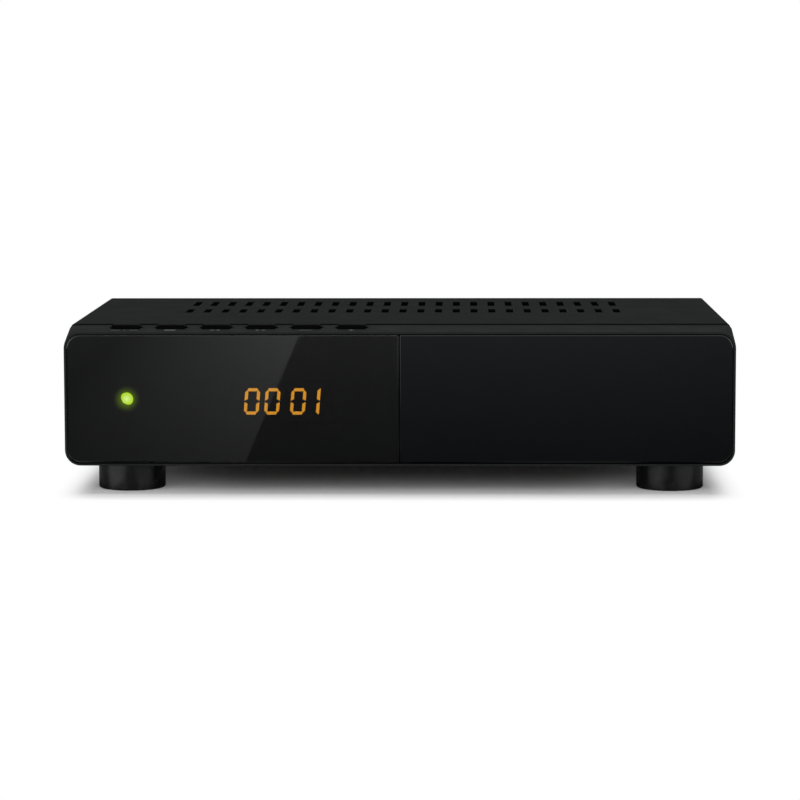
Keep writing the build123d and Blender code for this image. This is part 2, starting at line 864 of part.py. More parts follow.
def mirrored(corners, side, level):
    """The corners on the right (1) or left (-1) and upper (1) or lower (-1) side, slanted to the right."""
    slant = tan(radians(digit_slant))
    return [(side * x + level * z * slant, level * z) for x, z in corners]


def figure_segments(figure):
    """Outlines of the lit segments of a 0 or a 1."""
    if figure == "1":
        return [mirrored(upright_segment(False), 1, level) for level in (1, -1)]
    uprights = [mirrored(upright_segment(True), side, level) for side in (1, -1) for level in (1, -1)]
    return uprights + [mirrored(level_segment(), 1, level) for level in (1, -1)]


with BuildPart() as display_digits:
    with BuildSketch(front_view(module_front)):
        for centre, figure in zip(digit_centres, digit_figures):
            with Locations((centre, display_z)):
                for corners in figure_segments(figure):
                    Polygon(*corners, align=None)
    extrude(amount=segment_relief)
save(display_digits, "display_digits")

led_base = front_board_depth - led_stand
with BuildPart() as power_lamp:
    with Locations((led_x, depth_y(module_front + led_radius), led_z)):
        Sphere(led_radius)
    rod(led_x, led_z, led_radius, module_front + led_radius, led_base)
    rod(led_x, led_z, led_flange_radius, led_base - led_flange, led_base)
    for side in (-1, 1):
        block(
            led_x + side * led_lead_spread / 2 - led_lead / 2,
            led_x + side * led_lead_spread / 2 + led_lead / 2,
            led_base, front_board_depth, led_z - led_lead / 2, led_z + led_lead / 2,
        )
save(power_lamp, "power_lamp")

infrared_front = front_board_depth - infrared_length
with BuildPart() as infrared_receiver:
    block(
        infrared_x - infrared_width / 2, infrared_x + infrared_width / 2, infrared_front,
        front_board_depth, infrared_z - infrared_height / 2, infrared_z + infrared_height / 2,
    )
    with Locations((infrared_x, depth_y(infrared_front), infrared_z)):
        Sphere(infrared_radius - hole_gap)
save(infrared_receiver, "infrared_receiver")

front_board_screws = screws(
    [
        Plane(origin=(x, depth_y(front_board_back), z), x_dir=(1, 0, 0), z_dir=(0, 1, 0))
        for x, z in front_boss_places
    ],
    small_head, head_height, small_shank, board_thickness + screw_end,
)
save(front_board_screws, "front_board_screws")


# ---------------------------------------------------------------------------------------------------
# Main board, the ribbon cable to it and the sockets
# ---------------------------------------------------------------------------------------------------

with BuildPart() as main_board:
    block(
        main_board_left, main_board_right, main_board_front, main_board_rear, board_bottom, board_top,
    )
    for x, depth in fixing_places:
        post(x, depth, small_shank + hole_gap, board_bottom, board_top, mode=Mode.SUBTRACT)
save(main_board, "main_board")

# One header on each board, and the flat cable between them
header_width = ribbon_width + 2 * header_end
front_header_z = board_top + ribbon_rise
front_header_back = front_board_back + header_length
ribbon_depth = front_board_back + ribbon_reach
with BuildPart() as ribbon_headers:
    block(
        ribbon_x - header_width / 2, ribbon_x + header_width / 2, front_board_back,
        front_header_back, front_header_z - header_height / 2, front_header_z + header_height / 2,
    )
    block(
        ribbon_x - header_width / 2, ribbon_x + header_width / 2, ribbon_depth - header_length / 2,
        ribbon_depth + header_length / 2, board_top, board_top + header_height,
    )
save(ribbon_headers, "ribbon_headers")

ribbon_bend = ribbon_bend_share * (front_header_z - board_top - header_height)
with BuildPart() as ribbon_cable:
    with BuildLine() as ribbon_route:
        FilletPolyline(
            (ribbon_x, depth_y(front_header_back), front_header_z),
            (ribbon_x, depth_y(ribbon_depth), front_header_z),
            (ribbon_x, depth_y(ribbon_depth), board_top + header_height),
            radius=ribbon_bend,
        )
    with BuildSketch(
        Plane(origin=ribbon_route.line @ 0, x_dir=(1, 0, 0), z_dir=ribbon_route.line % 0)
    ):
        Rectangle(ribbon_width, ribbon_thickness)
    sweep()
save(ribbon_cable, "ribbon_cable")

# Tuner sealed in a tin can, with a lid pressed over it
tuner_rear = panel_inner - aerial_flange_length
tuner_front = tuner_rear - tuner_length
with BuildPart() as tuner_can:
    block(
        aerial_x - tuner_width / 2, aerial_x + tuner_width / 2, tuner_front, tuner_rear, board_top,
        board_top + tuner_height,
    )
save(tuner_can, "tuner_can")

lid_edge = tin + thread_gap
with BuildPart() as tuner_lid:
    block(
        aerial_x - tuner_width / 2 - lid_edge, aerial_x + tuner_width / 2 + lid_edge,
        tuner_front - lid_edge, tuner_rear, board_top + tuner_height - tuner_lid_skirt,
        board_top + tuner_height + tin,
    )
    block(
        aerial_x - tuner_width / 2 - thread_gap, aerial_x + tuner_width / 2 + thread_gap,
        tuner_front - thread_gap, tuner_rear, board_top + tuner_height - tuner_lid_skirt,
        board_top + tuner_height, mode=Mode.SUBTRACT,
    )
save(tuner_lid, "tuner_lid")

nut_face = panel_face + nut_thickness
with BuildPart() as aerial_socket:
    rod(aerial_x, aerial_z, aerial_flange_radius, tuner_rear, panel_inner)
    rod(aerial_x, aerial_z, aerial_neck_radius, panel_inner, nut_face)
    rod(aerial_x, aerial_z, aerial_radius, nut_face, aerial_end)
    chamfer(edges().filter_by(GeomType.CIRCLE).group_by(Axis.Y)[-1], aerial_chamfer)
    rod(
        aerial_x, aerial_z, aerial_bore_radius, aerial_end - aerial_bore_length, aerial_end,
        mode=Mode.SUBTRACT,
    )
save(aerial_socket, "aerial_socket")

with BuildPart() as aerial_insulator:
    rod(
        aerial_x, aerial_z, aerial_bore_radius - thread_gap, aerial_end - aerial_bore_length,
        aerial_end - tin,
    )
    rod(
        aerial_x, aerial_z, aerial_contact_radius, aerial_end - aerial_bore_length, aerial_end - tin,
        mode=Mode.SUBTRACT,
    )
save(aerial_insulator, "aerial_insulator")

with BuildPart() as aerial_nut:
    with BuildSketch(front_view(panel_face)):
        with Locations((aerial_x, aerial_z)):
            RegularPolygon(nut_across_flats / 2, 6, major_radius=False)
            Circle(aerial_neck_radius + thread_gap, mode=Mode.SUBTRACT)
    extrude(amount=-nut_thickness)
save(aerial_nut, "aerial_nut")

# Audio and video socket for a many-pin plug: a skirt groove round a block with two rows of slots
euro_end = panel_face + euro_nose_proud


def cut_corner_outline(width, height, slant, mode):
    """Rectangle with one lower corner cut off, so that the plug goes in one way round."""
    left, right, low, high = -width / 2, width / 2, -height / 2, height / 2
    Polygon(
        (left, high), (right, high), (right, low + slant), (right - slant, low), (left, low),
        align=None, mode=mode,
    )


with BuildPart() as euro_av_socket:
    block(
        euro_x - euro_width / 2, euro_x + euro_width / 2, euro_end - euro_length,
        panel_inner, board_top, board_top + euro_height,
    )
    block(
        euro_x - euro_flange_width / 2, euro_x + euro_flange_width / 2,
        panel_inner - euro_flange_thickness, panel_inner, board_top, board_top + euro_height,
    )
    block(
        euro_x - euro_nose_width / 2, euro_x + euro_nose_width / 2, panel_inner, euro_end,
        euro_z - euro_nose_height / 2, euro_z + euro_nose_height / 2,
    )
    with BuildSketch(Plane(origin=(euro_x, depth_y(euro_end), euro_z), x_dir=(-1, 0, 0), z_dir=(0, 1, 0))):
        cut_corner_outline(groove_width, groove_height, groove_slant, Mode.ADD)
        cut_corner_outline(core_width, core_height, groove_slant, Mode.SUBTRACT)
        with GridLocations(slot_pitch, slot_row_spread, slot_count, 2):
            Rectangle(slot_width, slot_height)
    extrude(amount=-groove_length, mode=Mode.SUBTRACT)
    for side in (-1, 1):
        rod(
            euro_x + side * euro_screw_spread / 2, euro_z, large_shank + thread_gap,
            panel_inner - euro_flange_thickness, panel_inner, mode=Mode.SUBTRACT,
        )
save(euro_av_socket, "euro_av_socket")


def socket_shell(outline_points, x, z, mouth, towards, length):
    """Sheet-metal socket: a tube of the given outline, closed at its inner end. It opens at a depth,
    towards the rear (1) or the front (-1)."""
    plane = Plane(origin=(x, depth_y(mouth), z), x_dir=(-towards, 0, 0), z_dir=(0, towards, 0))
    with BuildPart() as shell:
        with BuildSketch(plane):
            Polygon(*outline_points, align=None)
        extrude(amount=-length)
        with BuildSketch(plane):
            Polygon(*outline_points, align=None)
            offset(amount=-shell_wall, kind=Kind.INTERSECTION, mode=Mode.REPLACE)
        extrude(amount=shell_wall - length, mode=Mode.SUBTRACT)
    return shell


half_video = video_width / 2
video_end = panel_face + socket_proud
digital_video_socket = socket_shell(
    [
        (-half_video, video_height / 2), (half_video, video_height / 2),
        (half_video, -video_height / 2 + video_taper_height),
        (half_video - video_taper_width, -video_height / 2),
        (-half_video + video_taper_width, -video_height / 2),
        (-half_video, -video_height / 2 + video_taper_height),
    ],
    video_x, video_z, video_end, 1, video_length,
)
save(digital_video_socket, "digital_video_socket")

with BuildPart() as digital_video_tongue:
    block(
        video_x - video_tongue_width / 2, video_x + video_tongue_width / 2,
        video_end - video_length + shell_wall, video_end - tongue_setback,
        video_z - video_tongue_thickness / 2, video_z + video_tongue_thickness / 2,
    )
save(digital_video_tongue, "digital_video_tongue")

data_z = board_top + data_height / 2
data_socket = socket_shell(
    [
        (-data_width / 2, data_height / 2), (data_width / 2, data_height / 2),
        (data_width / 2, -data_height / 2), (-data_width / 2, -data_height / 2),
    ],
    data_x, data_z, data_mouth_depth, -1, data_length,
)
save(data_socket, "data_socket")

with BuildPart() as data_socket_tongue:
    block(
        data_x - data_tongue_width / 2, data_x + data_tongue_width / 2,
        data_mouth_depth + tongue_setback, data_mouth_depth + data_length - shell_wall,
        data_z + data_tongue_offset, data_z + data_tongue_offset + data_tongue_thickness,
    )
save(data_socket_tongue, "data_socket_tongue")

audio_end = panel_face + audio_barrel_reach
with BuildPart() as digital_audio_socket:
    block(
        audio_x - audio_width / 2, audio_x + audio_width / 2, panel_inner - audio_length, panel_inner,
        board_top, board_top + audio_height,
    )
    rod(audio_x, audio_z, audio_collar_radius, panel_inner, panel_face)
    rod(audio_x, audio_z, audio_core_radius, panel_inner, audio_end - audio_core_setback)
    rod(
        audio_x, audio_z, audio_hole_radius, panel_inner, audio_end - audio_core_setback,
        mode=Mode.SUBTRACT,
    )
save(digital_audio_socket, "digital_audio_socket")

with BuildPart() as audio_socket_sleeve:
    rod(audio_x, audio_z, audio_barrel_radius, panel_face, audio_end)
    rod(
        audio_x, audio_z, audio_core_radius + thread_gap, panel_face, audio_end, mode=Mode.SUBTRACT,
    )
save(audio_socket_sleeve, "audio_socket_sleeve")

dc_end = panel_face + socket_proud
with BuildPart() as dc_inlet:
    block(
        dc_x - dc_width / 2, dc_x + dc_width / 2, panel_inner - dc_length, panel_inner, board_top,
        board_top + dc_height,
    )
    rod(dc_x, dc_z, dc_nose_radius, panel_inner, dc_end)
    rod(dc_x, dc_z, dc_hole_radius, dc_end - dc_hole_length, dc_end, mode=Mode.SUBTRACT)
save(dc_inlet, "dc_inlet")

with BuildPart() as dc_inlet_pin:
    rod(dc_x, dc_z, dc_pin_radius, dc_end - dc_hole_length, dc_end - tongue_setback)
save(dc_inlet_pin, "dc_inlet_pin")


# ---------------------------------------------------------------------------------------------------
# Parts on the main board
# ---------------------------------------------------------------------------------------------------


def board_block(x, setback, width, length, bottom, height):
    """Box on the main board or on another part of it, placed by its middle."""
    with Locations((x, depth_y(panel_inner - setback), bottom + height / 2)):
        Box(width, length, height)


with BuildPart() as main_chip:
    board_block(chip_x, chip_setback, chip_size, chip_size, board_top, chip_height)
save(main_chip, "main_chip")

with BuildPart() as thermal_pad:
    board_block(
        chip_x, chip_setback, chip_size, chip_size, board_top + chip_height, thermal_pad_thickness,
    )
save(thermal_pad, "thermal_pad")

heatsink_bottom = board_top + chip_height + thermal_pad_thickness
fin_pitch = (heatsink_size - fin_thickness) / (fin_count - 1)
with BuildPart() as heatsink:
    board_block(chip_x, chip_setback, heatsink_size, heatsink_size, heatsink_bottom, heatsink_base)
    fin_y = depth_y(panel_inner - chip_setback)
    with Locations((chip_x, fin_y, heatsink_bottom + heatsink_height / 2)):
        with GridLocations(fin_pitch, 0, fin_count, 1):
            Box(fin_thickness, heatsink_size, heatsink_height)
save(heatsink, "heatsink")

with BuildPart() as memory_chips:
    for setback in memory_setbacks:
        board_block(memory_x, setback, memory_width, memory_length, board_top, memory_height)
save(memory_chips, "memory_chips")

with BuildPart() as capacitors:
    for x, setback, radius, height in capacitor_places:
        post(x, panel_inner - setback, radius, board_top, board_top + height)
    tops = faces().filter_by(Plane.XY).filter_by(lambda face: face.center().Z > board_top)
    chamfer(tops.edges(), capacitor_edge)
save(capacitors, "capacitors")

with BuildPart() as inductors:
    for x, setback in inductor_places:
        board_block(x, setback, inductor_size, inductor_size, board_top, inductor_height)
    chamfer(edges().filter_by(Axis.Z), inductor_corner)
save(inductors, "inductors")

with BuildPart() as crystal:
    with BuildSketch(Plane.XY.offset(board_top)):
        with Locations((crystal_x, depth_y(panel_inner - crystal_setback))):
            SlotOverall(crystal_length, crystal_width)
    extrude(amount=crystal_height)
save(crystal, "crystal")


# ---------------------------------------------------------------------------------------------------
# Feet and screws
# ---------------------------------------------------------------------------------------------------

foot_cavity_top = case_bottom - foot_web
with BuildPart() as feet:
    for x, depth in foot_places:
        post(x, depth, foot_radius, pad_proud, case_bottom)
    chamfer(edges().filter_by(GeomType.CIRCLE).group_by(Axis.Z)[0], foot_edge)
    for x, depth in foot_places:
        post(x, depth, pad_radius + sheet_gap, pad_proud, pad_thickness, mode=Mode.SUBTRACT)
        post(x, depth, foot_cavity_radius, pad_thickness, foot_cavity_top, mode=Mode.SUBTRACT)
        post(x, depth, large_shank + hole_gap, foot_cavity_top, case_bottom, mode=Mode.SUBTRACT)
save(feet, "feet")

with BuildPart() as foot_pads:
    for x, depth in foot_places:
        post(x, depth, pad_radius, 0, pad_thickness)
save(foot_pads, "foot_pads")

foot_screws = screws(
    [
        Plane(origin=(x, depth_y(depth), foot_cavity_top), x_dir=(1, 0, 0), z_dir=(0, 0, -1))
        for x, depth in foot_places
    ],
    large_head, head_height, large_shank, foot_web + steel + screw_end,
)
save(foot_screws, "foot_screws")

board_screws = screws(
    [
        Plane(origin=(x, depth_y(depth), board_top), x_dir=(1, 0, 0), z_dir=(0, 0, 1))
        for x, depth in fixing_places
    ],
    small_head, head_height, small_shank, board_thickness + screw_end,
)
save(board_screws, "board_screws")

fascia_screws = screws(
    [
        Plane(
            origin=(side * lug_x, depth_y(lug_screw_depth), case_bottom), x_dir=(1, 0, 0),
            z_dir=(0, 0, -1),
        )
        for side in (-1, 1)
    ],
    large_head, head_height, large_shank, steel + screw_end,
)
save(fascia_screws, "fascia_screws")

cover_screws = screws(
    [
        Plane(
            origin=(side * case_width / 2, depth_y(depth), case_screw_z), x_dir=(0, 1, 0),
            z_dir=(side, 0, 0),
        )
        for side in (-1, 1)
        for depth in cover_screw_depths
    ],
    large_head, cover_head_height, large_shank, 2 * steel + sheet_gap + screw_end,
)
save(cover_screws, "cover_screws")

rear_screws = screws(
    [
        Plane(origin=(x, depth_y(panel_face), z), x_dir=(1, 0, 0), z_dir=(0, 1, 0))
        for x, z in (
            (-rear_screw_x, case_screw_z), (rear_screw_x, case_screw_z),
            (euro_x - euro_screw_spread / 2, euro_z), (euro_x + euro_screw_spread / 2, euro_z),
        )
    ],
    large_head, head_height, large_shank, steel + euro_flange_thickness + screw_end,
)
save(rear_screws, "rear_screws")
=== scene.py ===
# %% [markdown]
# # A small satellite receiver, dressed for its picture
#
# The construction comes packed from the CAD model as a fixed frame: every piece at its real size, in
# metres, with the front facing -Y and Z up. This lesson gives each piece its finish, models the pieces
# whose edges catch the light, prints the signs at the keys, and sets up the light and the camera.

# %% Load the frame
import json
from math import atan2, cos, hypot, pi, radians, sin

import bmesh
import bpy
from mathutils import Matrix, Vector


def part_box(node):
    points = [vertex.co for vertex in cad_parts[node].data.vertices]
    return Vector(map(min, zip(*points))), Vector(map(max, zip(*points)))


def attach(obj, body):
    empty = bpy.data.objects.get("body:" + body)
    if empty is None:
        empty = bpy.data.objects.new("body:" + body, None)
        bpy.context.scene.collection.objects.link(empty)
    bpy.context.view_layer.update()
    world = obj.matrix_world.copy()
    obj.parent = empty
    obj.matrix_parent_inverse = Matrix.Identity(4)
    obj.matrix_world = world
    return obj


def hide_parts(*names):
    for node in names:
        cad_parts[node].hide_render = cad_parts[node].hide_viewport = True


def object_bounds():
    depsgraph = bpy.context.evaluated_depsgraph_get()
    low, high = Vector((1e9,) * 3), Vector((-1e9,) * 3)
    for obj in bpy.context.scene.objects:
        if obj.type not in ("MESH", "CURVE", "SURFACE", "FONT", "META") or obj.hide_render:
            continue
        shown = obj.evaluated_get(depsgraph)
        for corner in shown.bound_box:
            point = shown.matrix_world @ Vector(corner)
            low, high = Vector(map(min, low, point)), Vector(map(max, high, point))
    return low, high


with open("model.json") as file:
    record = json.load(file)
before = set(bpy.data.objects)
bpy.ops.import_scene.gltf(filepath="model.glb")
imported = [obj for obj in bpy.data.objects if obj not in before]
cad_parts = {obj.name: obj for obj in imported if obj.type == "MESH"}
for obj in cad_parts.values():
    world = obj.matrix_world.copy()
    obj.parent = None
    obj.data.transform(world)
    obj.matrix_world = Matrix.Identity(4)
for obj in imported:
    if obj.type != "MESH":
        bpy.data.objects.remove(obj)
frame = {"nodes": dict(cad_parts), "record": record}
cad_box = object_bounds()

body_of = {node: body for body, nodes in frame["record"]["behaviour"]["bodies"].items() for node in nodes}
slot_of = {part["node"]: part["material_slot"] for part in frame["record"]["subparts"]}
keys = [f"key_{number}" for number in range(1, 7)]
mm = 0.001

# %% [markdown]
# ## Camera
#
# A product picture is taken with a long lens from a little above the object, so that upright edges stay
# nearly parallel. The place and the turns of the camera are plain values, and its matrix is built from
# three directions: right, up and backwards.

# %% Camera
camera_place = Vector((0.015264, -0.82577, 0.10711))
camera_tilt = 0.10742  # downwards
camera_yaw = -0.01954
camera_roll = -0.001865
camera_lens = 139.62
sensor_width = 36

ahead = Vector((sin(camera_yaw) * cos(camera_tilt), cos(camera_yaw) * cos(camera_tilt), -sin(camera_tilt)))
level = Vector((cos(camera_yaw), -sin(camera_yaw), 0))
above = level.cross(ahead)
right = cos(camera_roll) * level + sin(camera_roll) * above
up = cos(camera_roll) * above - sin(camera_roll) * level

lens = bpy.data.cameras.new("product_camera")
lens.lens = camera_lens
lens.sensor_width = sensor_width
lens.clip_start = 0.01
camera = bpy.data.objects.new("product_camera", lens)
camera.matrix_world = Matrix.Translation(camera_place) @ Matrix((right, up, -ahead)).transposed().to_4x4()
bpy.context.scene.collection.objects.link(camera)
bpy.context.scene.camera = camera
bpy.context.scene.view_settings.view_transform = "Standard"
print("camera", tuple(round(value, 4) for value in camera.location), "lens", lens.lens)

# %% [markdown]
# ## How a finish is built
#
# Every finish starts as one Principled shader, with its plain values set on the shader's own sockets.
# What varies over a piece is worked out by small nodes from the place on the piece, in metres, and wired
# into one of those sockets.

# %% Helpers for finishes
mix_first, mix_second, mix_result = 6, 7, 2  # sockets of a Mix node when it mixes colours


def new_finish(name, colour, roughness, specular=0.5, metallic=0.0):
    """Material with one Principled shader and its plain values."""
    material = bpy.data.materials.new(name)
    material.use_nodes = True
    shader = material.node_tree.nodes["Principled BSDF"]
    shader.inputs["Base Color"].default_value = (*colour, 1)
    shader.inputs["Roughness"].default_value = roughness
    shader.inputs["Specular IOR Level"].default_value = specular
    shader.inputs["Metallic"].default_value = metallic
    place = material.node_tree.nodes.new("ShaderNodeTexCoord")
    place.name = "Place"
    return material


def add_node(material, kind, values=None, **settings):
    """Adds a node, sets its options and its plain input values."""
    made = material.node_tree.nodes.new(kind)
    for name, value in settings.items():
        setattr(made, name, value)
    for name, value in (values or {}).items():
        made.inputs[name].default_value = value
    return made


def wire(material, source, target):
    """Links one socket to another."""
    material.node_tree.links.new(source, target)


def shader_input(material, name):
    return material.node_tree.nodes["Principled BSDF"].inputs[name]


def calculate(material, operation, *values):
    """Math node on sockets and plain numbers."""
    made = add_node(material, "ShaderNodeMath", operation=operation)
    for order, value in enumerate(values):
        if isinstance(value, bpy.types.NodeSocket):
            wire(material, value, made.inputs[order])
        else:
            made.inputs[order].default_value = value
    return made.outputs[0]


def distance_from(material, centre, axes):
    """Distance from a point, measured only along the axes that are 1."""
    offset = add_node(material, "ShaderNodeVectorMath", operation="SUBTRACT")
    wire(material, material.node_tree.nodes["Place"].outputs["Object"], offset.inputs[0])
    offset.inputs[1].default_value = centre
    chosen = add_node(material, "ShaderNodeVectorMath", operation="MULTIPLY")
    wire(material, offset.outputs[0], chosen.inputs[0])
    chosen.inputs[1].default_value = axes
    length = add_node(material, "ShaderNodeVectorMath", operation="LENGTH")
    wire(material, chosen.outputs[0], length.inputs[0])
    return length.outputs["Value"]


def ramp(material, source, start, end, low=0.0, high=1.0, smooth=True):
    """Goes from low to high while the source goes from start to end."""
    ranged = add_node(
        material, "ShaderNodeMapRange",
        {"From Min": start, "From Max": end, "To Min": low, "To Max": high},
        interpolation_type="SMOOTHSTEP" if smooth else "LINEAR",
    )
    wire(material, source, ranged.inputs["Value"])
    return ranged.outputs["Result"]


def blend_colours(material, share, first, second, target):
    """Mixes two colours by a share and sends the mix to a socket of the shader."""
    mix = add_node(material, "ShaderNodeMix", data_type="RGBA")
    mix.inputs[mix_first].default_value = (*first, 1)
    mix.inputs[mix_second].default_value = (*second, 1)
    wire(material, share, mix.inputs["Factor"])
    wire(material, mix.outputs[mix_result], shader_input(material, target))


def multiply_colour(material, mask, share):
    """Takes the colour down to a share of itself where the mask is 1."""
    mix = add_node(material, "ShaderNodeMix", data_type="RGBA", blend_type="MULTIPLY")
    mix.inputs[mix_second].default_value = (share, share, share, 1)
    wire(material, mask, mix.inputs["Factor"])
    wire(material, shader_input(material, "Base Color").links[0].from_socket, mix.inputs[mix_first])
    wire(material, mix.outputs[mix_result], shader_input(material, "Base Color"))


# %% [markdown]
# ## Unevenness
#
# No real surface is even, and a little noise in its colour, gloss and relief is what makes it look real.
# The noise is measured in object coordinates, which are metres here, so that a grain has the same true
# size on every piece.

# %% Noise in the colour, the gloss and the relief


def noise(material, size, detail=2.0, stretch=(1, 1, 1)):
    """Noise whose patches are about this size in metres. It is longer along an axis whose stretch is
    below 1."""
    mapping = add_node(material, "ShaderNodeMapping", {"Scale": stretch})
    wire(material, material.node_tree.nodes["Place"].outputs["Object"], mapping.inputs["Vector"])
    texture = add_node(material, "ShaderNodeTexNoise", {"Scale": 1 / size, "Detail": detail})
    wire(material, mapping.outputs["Vector"], texture.inputs["Vector"])
    return texture.outputs["Fac"]


def spread(material, source, low, high):
    """Stretches the middle of a noise to the range from low to high."""
    noise_middle = (0.35, 0.65)
    ranged = add_node(
        material, "ShaderNodeMapRange",
        {"From Min": noise_middle[0], "From Max": noise_middle[1], "To Min": low, "To Max": high},
    )
    wire(material, source, ranged.inputs["Value"])
    return ranged.outputs["Result"]


def mottle(material, size, share, detail=2.0, stretch=(1, 1, 1)):
    """Varies the colour by a share of itself, in patches of a size."""
    colour = shader_input(material, "Base Color").default_value[:3]
    darker = [channel * (1 - share) for channel in colour]
    paler = [min(channel * (1 + share), 1) for channel in colour]
    patches = spread(material, noise(material, size, detail, stretch), 0, 1)
    blend_colours(material, patches, darker, paler, "Base Color")


def uneven_gloss(material, size, low, high, stretch=(1, 1, 1)):
    """Varies the roughness between two values."""
    patches = spread(material, noise(material, size, detail=3.0, stretch=stretch), low, high)
    wire(material, patches, shader_input(material, "Roughness"))


def grain(material, size, height, detail=2.0, stretch=(1, 1, 1)):
    """Fine relief of a height in metres, laid over the relief that is there already."""
    bump = add_node(material, "ShaderNodeBump", {"Strength": 1.0, "Distance": height})
    wire(material, noise(material, size, detail, stretch), bump.inputs["Height"])
    normal = shader_input(material, "Normal")
    if normal.links:
        wire(material, normal.links[0].from_socket, bump.inputs["Normal"])
    wire(material, bump.outputs["Normal"], normal)


# %% [markdown]
# ## Case finishes
#
# The cover is steel sheet under matt black paint. Its fine grain is what keeps a low light from
# glancing off it, so it has almost no gloss. Its front edge and the cut walls of its slots catch less
# light than the flat paint, so painted shade makes them darker. The tray under it is painted more thinly.

# %% Painted steel


def paint_shade_on_front(material, node, share):
    """Painted shade: takes the mottled colour down to a share on the foremost face of a node."""
    full_depth, end_depth = 0.05 * mm, 0.3 * mm
    behind_front = distance_from(material, (0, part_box(node)[0].y, 0), (0, 1, 0))
    multiply_colour(material, ramp(material, behind_front, full_depth, end_depth, 1, 0), share)


def paint_shade_on_slot_walls(paint, share):
    """Painted shade in the slots: takes the mottled colour down below the face of the top sheet, where the
    walls of its slots lie.
    """
    low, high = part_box("top_cover")
    middle = (0, (low.y + high.y) / 2, high.z)
    edge_zone = 3 * mm  # at the rim of the sheet, which has no slots and is left as it is
    face_depth, wall_depth = 0.05 * mm, 0.2 * mm
    walls = ramp(paint, distance_from(paint, middle, (0, 0, 1)), face_depth, wall_depth)
    for axis, half in (((1, 0, 0), high.x), ((0, 1, 0), (high.y - low.y) / 2)):
        away = distance_from(paint, middle, axis)
        off_the_edge = ramp(paint, away, half - 2 * edge_zone, half - edge_zone, 1, 0)
        walls = calculate(paint, "MULTIPLY", walls, off_the_edge)
    multiply_colour(paint, walls, share)


def make_cover_paint():
    paint = new_finish("cover_paint", (0.0150, 0.0168, 0.0160), 0.9, specular=0.001)
    mottle(paint, 6 * mm, 0.05)
    # Painted shade on the front edge of the cover, which catches less light than the top.
    paint_shade_on_front(paint, "top_cover", 0.45)
    # Painted shade on the cut walls of the slots.
    paint_shade_on_slot_walls(paint, 0.15)
    uneven_gloss(paint, 9 * mm, 0.82, 0.95)
    grain(paint, 0.35 * mm, 0.006 * mm)
    return paint


def make_tray_metal():
    paint = new_finish("tray_metal", (0.010, 0.010, 0.010), 0.6, specular=0.12)
    mottle(paint, 4 * mm, 0.12)
    uneven_gloss(paint, 7 * mm, 0.5, 0.7)
    grain(paint, 0.3 * mm, 0.008 * mm)
    return paint


# %% [markdown]
# ## Plastics of the front
#
# The fascia is moulded with a fine satin grain. The flap and the keys are polished, and a gloss surface
# shows itself by what it mirrors, so they stay almost black, with a faint waviness from moulding.

# %% Moulded plastics
window_tint = 0.06  # share of the light that passes the window
lamp_centre = (Vector(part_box("power_lamp")[0]) + Vector(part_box("power_lamp")[1])) / 2


def paint_lamp_glow(plastic):
    """Painted light: a glow that the wall round the lamp gives off, seen through the window."""
    halo_start = 1.5 * mm
    halo_end = 3.7 * mm
    seen_strength = 0.105
    outwards = distance_from(plastic, lamp_centre, (1, 0, 1))
    nearness = ramp(plastic, outwards, halo_start, halo_end, 1, 0, smooth=False)
    halo = calculate(plastic, "MULTIPLY", nearness, nearness)
    blend_colours(plastic, halo, (0, 0, 0), (0.62, 1.0, 0.0), "Emission Color")
    shader_input(plastic, "Emission Strength").default_value = seen_strength / window_tint


def make_fascia_plastic():
    plastic = new_finish("fascia_plastic", (0.0165, 0.0182, 0.0178), 0.7, specular=0.0025)
    mottle(plastic, 5 * mm, 0.05)
    # Painted shade on the front faces of the fascia, which catch less light than its top.
    paint_shade_on_front(plastic, "fascia_frame", 0.75)
    uneven_gloss(plastic, 6 * mm, 0.64, 0.78)
    grain(plastic, 0.22 * mm, 0.004 * mm)
    # Painted light: the wall round the lamp glows green.
    paint_lamp_glow(plastic)
    return plastic


def make_flap_gloss():
    plastic = new_finish("flap_gloss", (0.0009, 0.0012, 0.0015), 0.04)
    mottle(plastic, 12 * mm, 0.08)
    uneven_gloss(plastic, 20 * mm, 0.03, 0.05)
    return plastic


def make_key_plastic():
    """Polished at the sides, and etched to a soft satin on the top that the finger meets."""
    polished, satin = 0.15, 0.9
    plastic = new_finish("key_plastic", (0.0012, 0.0013, 0.0013), polished, specular=0.025)
    etch_depth = 0.8 * mm
    key_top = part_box(keys[0])[1].z
    height = distance_from(plastic, (0, 0, 0), (0, 0, 1))
    etched = ramp(plastic, height, key_top - etch_depth, key_top - etch_depth / 2)
    mottle(plastic, 3 * mm, 0.1)
    wire(plastic, ramp(plastic, etched, 0, 1, polished, satin), shader_input(plastic, "Roughness"))
    grain(plastic, 0.25 * mm, 0.003 * mm)
    return plastic


def make_smoked_window():
    cool_tint = 1.04 * window_tint
    smoke = new_finish("smoked_window", (window_tint, cool_tint, cool_tint), 0.02)
    shader_input(smoke, "Transmission Weight").default_value = 1.0
    shader_input(smoke, "IOR").default_value = 1.49
    mottle(smoke, 15 * mm, 0.03)
    uneven_gloss(smoke, 20 * mm, 0.012, 0.025)
    return smoke


# %% [markdown]
# ## What lights up
#
# The digits and the lamp are emissive. The window in front of them lets through only the share that its
# tint says, so their light is written as it looks from outside and divided by the tint.

# %% Lights behind the window


def make_lit_segments():
    amber = new_finish("lit_segments", (0.05, 0.025, 0.005), 0.5)
    seen_strength = 0.64
    shader_input(amber, "Emission Strength").default_value = seen_strength / window_tint
    uneven = spread(amber, noise(amber, 0.8 * mm), 0, 1)
    blend_colours(amber, uneven, (0.94, 0.375, 0.022), (1.0, 0.42, 0.032), "Emission Color")
    mottle(amber, 0.8 * mm, 0.1)
    return amber


